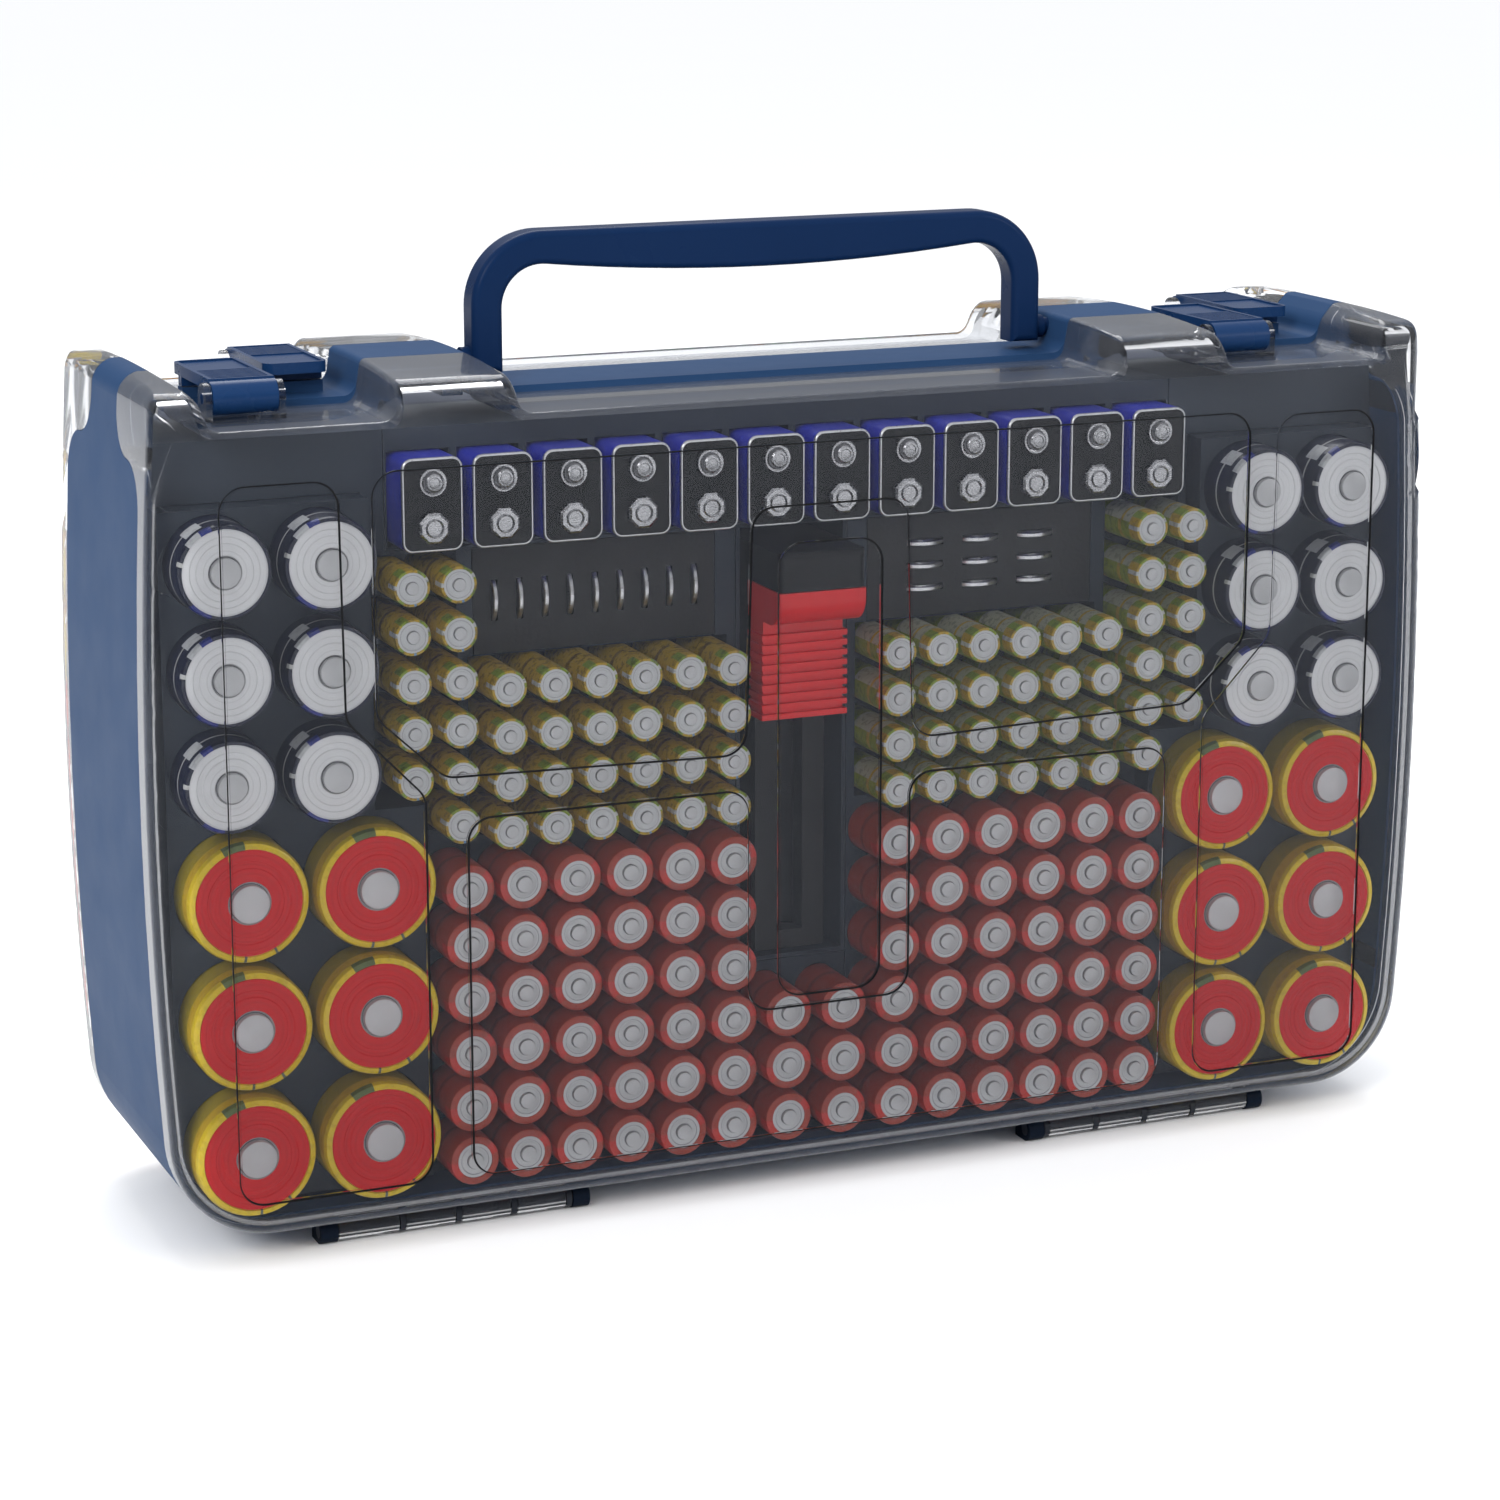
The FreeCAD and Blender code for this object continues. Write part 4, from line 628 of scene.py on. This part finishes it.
green, leaf = (0.03, 0.34, 0.03), (0.10, 0.52, 0.06)
tomato, purple, black, tan = (0.78, 0.050, 0.015), (0.16, 0.03, 0.26), (0.010, 0.010, 0.012), (0.48, 0.30, 0.08)
lemon, amber, bronze, graphite = (0.86, 0.70, 0.10), (0.80, 0.34, 0.012), (0.46, 0.26, 0.02), (0.15, 0.15, 0.155)
pine, steelGrey, maroon, violet = (0.02, 0.10, 0.02), (0.30, 0.30, 0.31), (0.5, 0.03, 0.012), (0.26, 0.08, 0.36)
plain = {
    "long": [(0.0, yellow), (0.12, lemon), (0.14, yellow), (0.23, lemon), (0.26, (0.80, 0.46, 0.012)), (0.34, amber),
             (0.56, (0.66, 0.32, 0.02)), (0.70, bronze), (0.73, (0.60, 0.34, 0.02)), (0.86, bronze)],
    "medium": [(0.0, tomato), (0.57, (0.5, 0.10, 0.02)), (0.60, black), (0.80, steelGrey), (0.806, black)],
    "short": [(0.0, silver), (0.28, steelGrey), (0.31, silver), (0.50, steelGrey), (0.53, silver), (0.66, graphite),
              (0.70, silver)],
    "wide": [(0.0, silver), (0.16, steelGrey), (0.19, silver), (0.46, (0.66, 0.12, 0.05)), (0.54, steelGrey),
             (0.66, (0.44, 0.44, 0.45)), (0.86, graphite)],
    "centre": [(0.0, black), (0.30, pale), (0.34, black), (0.46, purple), (0.62, violet), (0.74, purple)],
    "slim": [(0.0, silver), (0.28, black), (0.60, maroon), (0.62, black)],
    "rearAAA": [(0.0, tan), (0.18, leaf), (0.26, green), (0.34, leaf), (0.48, pine), (0.56, green), (0.59, pine),
                (0.68, green), (0.71, pine), (0.84, green)],
    "mini": [(0.0, green), (0.22, leaf), (0.38, pine), (0.48, silver), (0.54, pine), (0.66, silver), (0.72, pine),
             (0.84, silver), (0.90, pine)],
}
# Darker panels on the lower half of the sleeve only
panels = {
    "medium": [(0.0, tomato), (0.08, graphite), (0.16, tomato), (0.20, graphite), (0.28, tomato), (0.32, graphite),
               (0.40, tomato), (0.44, graphite), (0.52, tomato), (0.60, black)],
    "wide": [(0.0, silver), (0.28, graphite), (0.33, silver), (0.46, (0.66, 0.12, 0.05)), (0.54, steelGrey),
             (0.70, graphite), (0.82, silver), (0.86, graphite)],
    "long": [(0.0, yellow), (0.40, (0.62, 0.36, 0.012)), (0.62, (0.24, 0.14, 0.012)), (0.92, bronze)],
    "centre": [(0.0, black), (0.46, purple), (0.58, graphite), (0.66, purple)],
}


def rearSleeve(size):
    stops = plain[size]
    half = (0.60, 0.94, panels[size]) if size in panels else None
    return sleeve("sleeve_" + size, [(0.0, stops[0][1]), (0.5, stops[1][1]), (0.56, stops[0][1])], stops, 0.28, 0.03,
                  half=half, speck=0.12)


rearAAA = [(side * x, z, side) for side in (-1, 1) for x in (87.0, 39.2) for z in (48.5, 37.1)]
rearAAA += [((i - 2.5) * 48.3, 25.8, 1) for i in range(6)]
rear = {
    "rear_long_cells": ("long", pairRows(141.3, 195.0, 23.2, 3)),
    "rear_medium_cells": ("medium", pairRows(148.0, 128.7, 17.3, 6)),
    "rear_short_cells": ("short", pairRows(79.4, 188.0, 20.5, 3)),
    "rear_wide_cells": ("wide", pairRows(41.0, 182.8, 22.7, 6)),
    "rear_centre_cells": ("centre", [(0.0, 185.9 - j * 16.1, 1) for j in range(10)]),
    "rear_slim_cells": ("slim", pairRows(88.0, 128.7, 11.3, 7)),
    "rear_aaa_cells": ("rearAAA", rearAAA),
    "rear_mini_cells": ("mini", [((i - 2) * 32.1, 203.9, 1) for i in range(5)]),
}
for node, (size, entries) in rear.items():
    rearCells(node.replace("_cells", "Turned"), size, entries, cellFinishes(steelDisc, rearSleeve(size)), node)
print("rear cells made")


# Outline of the case in the upright plane: two bowed sides, a level bottom and a round corner between them
outline = {"low": (193.8, 42.0), "mid": (196.5, 130.0), "high": (192.8, 232.0), "bottom": 8.0, "corner": 29.0,
           "depth": 52.0, "round": 6.8, "wall": 2.0, "top": 215.6, "slack": 0.06, "level": 0.99}
# How the covers' meshes are made finer and smoother: corners nearer than the join are one, edges of the rim longer
# than the long one are halved, as often as the rounds say, and a flat is large from its area on
smoothing = {"join": 0.002, "long": 4.0, "off": 1.7, "past": 0.3, "rounds": 4, "crease": 32.0, "flat": 600.0,
             "plane": 0.02, "skin": 0.1, "lineDepth": 0.5, "lineGap": 4.0}
tiny = 1e-9  # keeps a length that is divided by from being zero


# Circle through three points, from where their perpendicular bisectors cross
def circleThrough(a, b, c):
    rows = 2 * np.array([np.subtract(b, a), np.subtract(c, a)])
    centre = np.linalg.solve(rows, [np.dot(b, b) - np.dot(a, a), np.dot(c, c) - np.dot(a, a)])
    return centre, np.hypot(*(np.array(a) - centre))


# Depth inside the outline, and the outward direction, for points in millimetres. It is the least of the depths
# inside the side circle and above the bottom, and inside the corner circle within the corner's sector
def depthInside(x, z):
    o = outline
    centre, bow = circleThrough(o["low"], o["mid"], o["high"])
    cornerZ = o["bottom"] + o["corner"]
    cornerX = centre[0] + math.sqrt((bow - o["corner"]) ** 2 - (cornerZ - centre[1]) ** 2)
    side = np.stack([np.abs(x) - centre[0], z - centre[1]])
    nook = np.stack([np.abs(x) - cornerX, z - cornerZ])
    sideFar, nookFar = np.hypot(*side), np.maximum(np.hypot(*nook), tiny)
    lean = math.atan2(cornerZ - centre[1], cornerX - centre[0])
    inNook = (nook[0] > 0) & (np.arctan2(nook[1], nook[0]) < lean)
    low = z - o["bottom"] < bow - sideFar
    depth = np.where(inNook, o["corner"] - nookFar, np.where(low, z - o["bottom"], bow - sideFar))
    outX = np.where(inNook, nook[0] / nookFar, np.where(low, 0.0, side[0] / sideFar)) * np.sign(x)
    outZ = np.where(inNook, nook[1] / nookFar, np.where(low, -1.0, side[1] / sideFar))
    return depth, outX, outZ


# Where points lie about a cover's rounded rim: their depth q inside the side and w beyond its middle line, the
# radius of their own circle, and whether that is the outer or the inner skin
def rimPlace(co):
    o = outline
    depth, outX, outZ = depthInside(co[:, 0], co[:, 2])
    q, w = o["round"] - depth, np.abs(co[:, 1]) - (o["depth"] - o["round"])
    far = np.hypot(q, w)
    near = (q > -o["slack"]) & (w > -o["slack"]) & (co[:, 2] < o["top"])
    outer = near & (np.abs(far - o["round"]) < o["slack"])
    inner = near & (np.abs(far - o["round"] + o["wall"]) < o["slack"])
    return depth, outX, outZ, q, w, far, outer, inner


# Long edges of the rounded rim are halved, and each new point goes out to the quarter circle of its skin
def finerRim(work):
    o, m = outline, smoothing
    big, small = o["round"], o["round"] - o["wall"]
    for _ in range(m["rounds"]):
        work.verts.ensure_lookup_table()
        work.edges.ensure_lookup_table()
        co = np.array([v.co for v in work.verts]) / mm
        ends = np.array([(e.verts[0].index, e.verts[1].index) for e in work.edges])
        outer, inner = rimPlace(co)[6:]
        middle = (co[ends[:, 0]] + co[ends[:, 1]]) / 2
        length = np.linalg.norm(co[ends[:, 0]] - co[ends[:, 1]], axis=1)
        q, w, far = rimPlace(middle)[3:6]
        skin = np.where(outer[ends].all(axis=1), big, np.where(inner[ends].all(axis=1), small, 0))
        onRim = (skin > 0) & (np.abs(far - skin) < m["off"]) & (q > -m["past"]) & (w > -m["past"])
        chosen = [work.edges[i] for i in np.flatnonzero(onRim & (length > m["long"]))]
        made = bmesh.ops.subdivide_edges(work, edges=chosen, cuts=1)
        fresh = [v for v in made["geom_inner"] if isinstance(v, bmesh.types.BMVert)]
        bmesh.ops.triangulate(work, faces=[f for f in work.faces if len(f.verts) > 3])
        place = np.array([v.co for v in fresh]) / mm
        outX, outZ, q, w, far = rimPlace(place)[1:6]
        grow = np.where(np.abs(far - big) < np.abs(far - small), big, small) / np.maximum(far, tiny)
        shift = q * (grow - 1)
        place[:, 0] += outX * shift
        place[:, 2] += outZ * shift
        place[:, 1] = np.sign(place[:, 1]) * (o["depth"] - big + w * grow)
        for vert, new in zip(fresh, place * mm):
            vert.co = new


# One kind of value of all the vertices, loops or faces of a mesh
def readAll(items, key, width=1, kind=float):
    values = np.zeros(len(items) * width, kind)
    items.foreach_get(key, values)
    return values.reshape(-1, width) if width > 1 else values


# Normals that the rim has by its formula: along the spokes of its quarter circle, and straight out on the sides
def rimNormals(mesh, normals):
    o = outline
    co, tri = readAll(mesh.vertices, "co", 3) / mm, readAll(mesh.loops, "vertex_index", kind=int)
    face = np.repeat(readAll(mesh.polygons, "normal", 3), 3, axis=0)
    depth, outX, outZ, q, w, far, outer, inner = rimPlace(co)
    spoke = np.stack([outX * q, np.sign(co[:, 1]) * w, outZ * q], axis=-1) / np.maximum(far, tiny)[:, None]
    level = np.stack([outX, np.zeros(len(co)), outZ], axis=-1)
    onOuter = outer[tri].reshape(-1, 3).all(axis=1).repeat(3)
    onInner = inner[tri].reshape(-1, 3).all(axis=1).repeat(3)
    low, faced = co[tri, 2] < o["top"], (face * level[tri]).sum(axis=1)
    outSide = low & (np.abs(depth[tri]) < o["slack"]) & (faced > o["level"])
    inSide = low & (np.abs(depth[tri] - o["wall"]) < o["slack"]) & (faced < -o["level"])
    for mask, value in ((outSide, level), (inSide, -level), (onOuter, spoke), (onInner, -spoke)):
        normals[mask] = value[tri][mask]
    return normals


# Corner normals: where a vertex touches a large flat, every face within the crease angle of that flat takes the
# flat's normal there; elsewhere a corner takes the mean of its neighbours within the crease, weighed by corner angle
def evenNormals(mesh):
    m, count = smoothing, len(mesh.polygons)
    tri, co = readAll(mesh.loops, "vertex_index", kind=int).reshape(-1, 3), readAll(mesh.vertices, "co", 3)
    normal, area = readAll(mesh.polygons, "normal", 3), readAll(mesh.polygons, "area")
    sides = np.roll(co[tri], -1, axis=1) - co[tri]
    sides /= np.maximum(np.linalg.norm(sides, axis=2, keepdims=True), 1e-12)
    angle = np.arccos(np.clip(-(sides * np.roll(sides, 1, axis=1)).sum(axis=2), -1, 1)).ravel()
    offset = (normal * co[tri[:, 0]]).sum(axis=1)
    plane = np.column_stack([np.round(normal, 3), np.round(offset / (m["plane"] * mm))])
    group = np.unique(plane, axis=0, return_inverse=True)[1].ravel()
    flatArea = np.bincount(group, weights=area)[group]
    corner = np.argsort(tri.ravel(), kind="stable")
    sizes = np.bincount(tri.ravel(), minlength=len(co))
    first = np.concatenate([[0], np.cumsum(sizes)[:-1]])
    owner = np.repeat(np.arange(len(co)), sizes ** 2)
    began = np.concatenate([[0], np.cumsum(sizes ** 2)[:-1]])
    local = np.arange(len(owner)) - np.repeat(began, sizes ** 2)
    mine = corner[first[owner] + local // sizes[owner]]
    other = corner[first[owner] + local % sizes[owner]]
    close = (normal[mine // 3] * normal[other // 3]).sum(axis=1) > math.cos(math.radians(m["crease"]))
    weight = np.where(close, angle[other], 0)
    big = flatArea[other // 3] > m["flat"] * mm * mm
    weight = weight * np.where(big, 1 + 1e6 * flatArea[other // 3] / flatArea.max(), 1e-3)
    summed = np.stack([np.bincount(mine, weights=weight * normal[other // 3, k], minlength=count * 3)
                       for k in range(3)], axis=-1)
    summed /= np.maximum(np.linalg.norm(summed, axis=1, keepdims=True), 1e-12)
    return summed


# Share across the floor of each pressed line, 0 on its shorter border and 1 on its longer one, and 1 on the walls
# beside it. The floors are the level faces just under the outer face, and each border is a closed loop of edges
def lineShares(work):
    m, face = smoothing, outline["depth"] * mm
    deep = m["lineDepth"] * mm
    share = np.zeros(len(work.verts))
    work.verts.index_update()
    floors = {f for f in work.faces if abs(f.normal.y) > outline["level"]
              and all(abs(face - abs(v.co.y) - deep) < m["plane"] * mm for v in f.verts)}
    links = {}
    for f in floors:
        for edge in f.edges:
            if sum(other in floors for other in edge.link_faces) == 1:
                a, b = edge.verts
                links.setdefault(a, []).append(b)
                links.setdefault(b, []).append(a)
    loops, left = [], set(links)
    while left:
        loop, queue = [], [min(left, key=lambda v: v.index)]
        while queue:
            vert = queue.pop()
            if vert in left:
                left.remove(vert)
                loop.append(vert)
                queue.extend(links[vert])
        loops.append(loop)
    spans = [max((v.co - loop[0].co).length for v in loop) for loop in loops]
    centres = [sum((v.co for v in loop), Vector()) / len(loop) for loop in loops]
    for i, loop in enumerate(loops):
        rivals = [spans[j] for j in range(len(loops))
                  if j != i and (centres[j] - centres[i]).length < m["lineGap"] * mm]
        if rivals and spans[i] > max(rivals):
            share[[v.index for v in loop]] = 1.0
    return share


# A cover as a smooth piece: its loose triangles are joined at their corners first
def smoothCover(node, finish):
    o, m = outline, smoothing
    source = frame["nodes"][node]
    mesh = source.data.copy()
    mesh.name = node + "_smooth"
    work = bmesh.new()
    work.from_mesh(mesh)
    bmesh.ops.remove_doubles(work, verts=work.verts, dist=m["join"] * mm)
    finerRim(work)
    work.normal_update()
    shares = lineShares(work)
    work.to_mesh(mesh)
    work.free()
    mesh.materials.clear()
    mesh.materials.append(finish)
    mesh.shade_smooth()
    mesh.normals_split_custom_set(rimNormals(mesh, evenNormals(mesh)).astype(np.float32))
    co = readAll(mesh.vertices, "co", 3) / mm
    depth, inner = rimPlace(co)[0], rimPlace(co)[7]
    plate = np.abs(np.abs(co[:, 1]) - o["depth"] + o["wall"]) < m["skin"]
    wall = (np.abs(depth - o["wall"]) < m["skin"]) & (co[:, 2] < o["top"])
    setTrait(mesh, "lineShare", shares)
    setTrait(mesh, "innerShare", plate | wall | inner)
    addPiece(bpy.data.objects.new(node + "_smooth", mesh), source["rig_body"], node)


smoothCover("front_cover", smokedClear)
smoothCover("rear_cover", paleClear)
print("covers made smooth")

# Every other node keeps its own mesh and gets a finish, by its name or by how its name starts
coinFoam = foamPanel()
finishOf = {
    "case_frame": navy, "divider_panel": trayPlastic, "rack_rear": trayPlastic, "handle": navySatin,
    "coin_panel_left": coinFoam, "coin_panel_right": coinFoam, "tester_well": rackPlastic,
    "tester_body": testerBlack, "tester_head": testerRed, "tester_cap_contact": steel, "tester_head_contact": steel,
}
finishByStart = {"rack_": rackPlastic, "crate_": rackPlastic, "latch_pin": navySatin, "latch_": latchNavy,
                 "hinge_": rodSlate}
for name, thing in frame["nodes"].items():
    if thing.hide_render:
        continue
    finish = finishOf.get(name) or next(f for start, f in finishByStart.items() if name.startswith(start))
    thing.data.materials.clear()
    thing.data.materials.append(finish)
print("node finishes assigned")

# Studio: a pale floor, a white backdrop, light that is dim low down and bright overhead, and large soft lamps
studio = {
    "low": 0.36, "high": 1.22, "from": 0.20, "to": 0.62, "air": (0.97, 0.98, 1.0), "backdrop": (1.0, 1.0, 1.0),
    "half": 14.0, "floor": (0.955, 0.958, 0.962), "worn": 0.99, "rough": 0.75, "aim": (0.0, 0.0, 0.12),
    "lamps": [((-1.5, -1.4, 1.3), 0.8, 30.0), ((1.5, -1.6, 0.8), 0.6, 12.0), ((0.1, 1.0, 1.5), 1.0, 18.0)],
}


def floorFinish():
    f = Finish("paleFloor")
    soft = f.noise(3.0, 2.0)
    colour = f.mix(soft, studio["floor"], tuple(c * studio["worn"] for c in studio["floor"]))
    return f.done(f.skin(colour, studio["rough"] + soft * 0.1))


def surround():
    f = Finish("surround", bpy.data.worlds.new("surround"))
    height = f.parts(f.node("ShaderNodeTexCoord", output="Generated"))[2]
    rise = f.node("ShaderNodeMapRange", {"interpolation_type": "SMOOTHSTEP"},
                  {"Value": height, "From Min": studio["from"], "From Max": studio["to"]})
    dim, bright = [f.node("ShaderNodeBackground", values={"Color": studio["air"], "Strength": studio[key]})
                   for key in ("low", "high")]
    light = f.node("ShaderNodeMixShader", values={0: rise, 1: dim, 2: bright})
    backdrop = f.node("ShaderNodeBackground", values={"Color": studio["backdrop"], "Strength": 1.0})
    seen = f.node("ShaderNodeLightPath", output="Is Camera Ray")
    return f.done(f.node("ShaderNodeMixShader", values={0: seen, 1: light, 2: backdrop}), "ShaderNodeOutputWorld")


def makeStudio():
    half = studio["half"]
    corners = np.array([(-half, -half, 0), (half, -half, 0), (half, half, 0), (-half, half, 0)])
    mesh = bpy.data.meshes.new("floor")
    mesh.from_pydata(corners.tolist(), [], [(0, 1, 2, 3)])
    mesh.materials.append(floorFinish())
    floor = bpy.data.objects.new("floor", mesh)
    bpy.context.scene.collection.objects.link(floor)
    bpy.context.scene.world = surround()
    for i, (place, size, power) in enumerate(studio["lamps"]):
        lamp = bpy.data.lights.new(f"softbox{i}", "AREA")
        lamp.shape, lamp.size, lamp.energy = "SQUARE", size, power
        holder = bpy.data.objects.new(f"softbox{i}", lamp)
        holder.location = place
        holder.rotation_mode = "QUATERNION"
        holder.rotation_quaternion = (Vector(studio["aim"]) - Vector(place)).to_track_quat("-Z", "Y")
        bpy.context.scene.collection.objects.link(holder)


makeStudio()
bpy.context.scene.view_settings.view_transform = "Standard"
print("studio made")
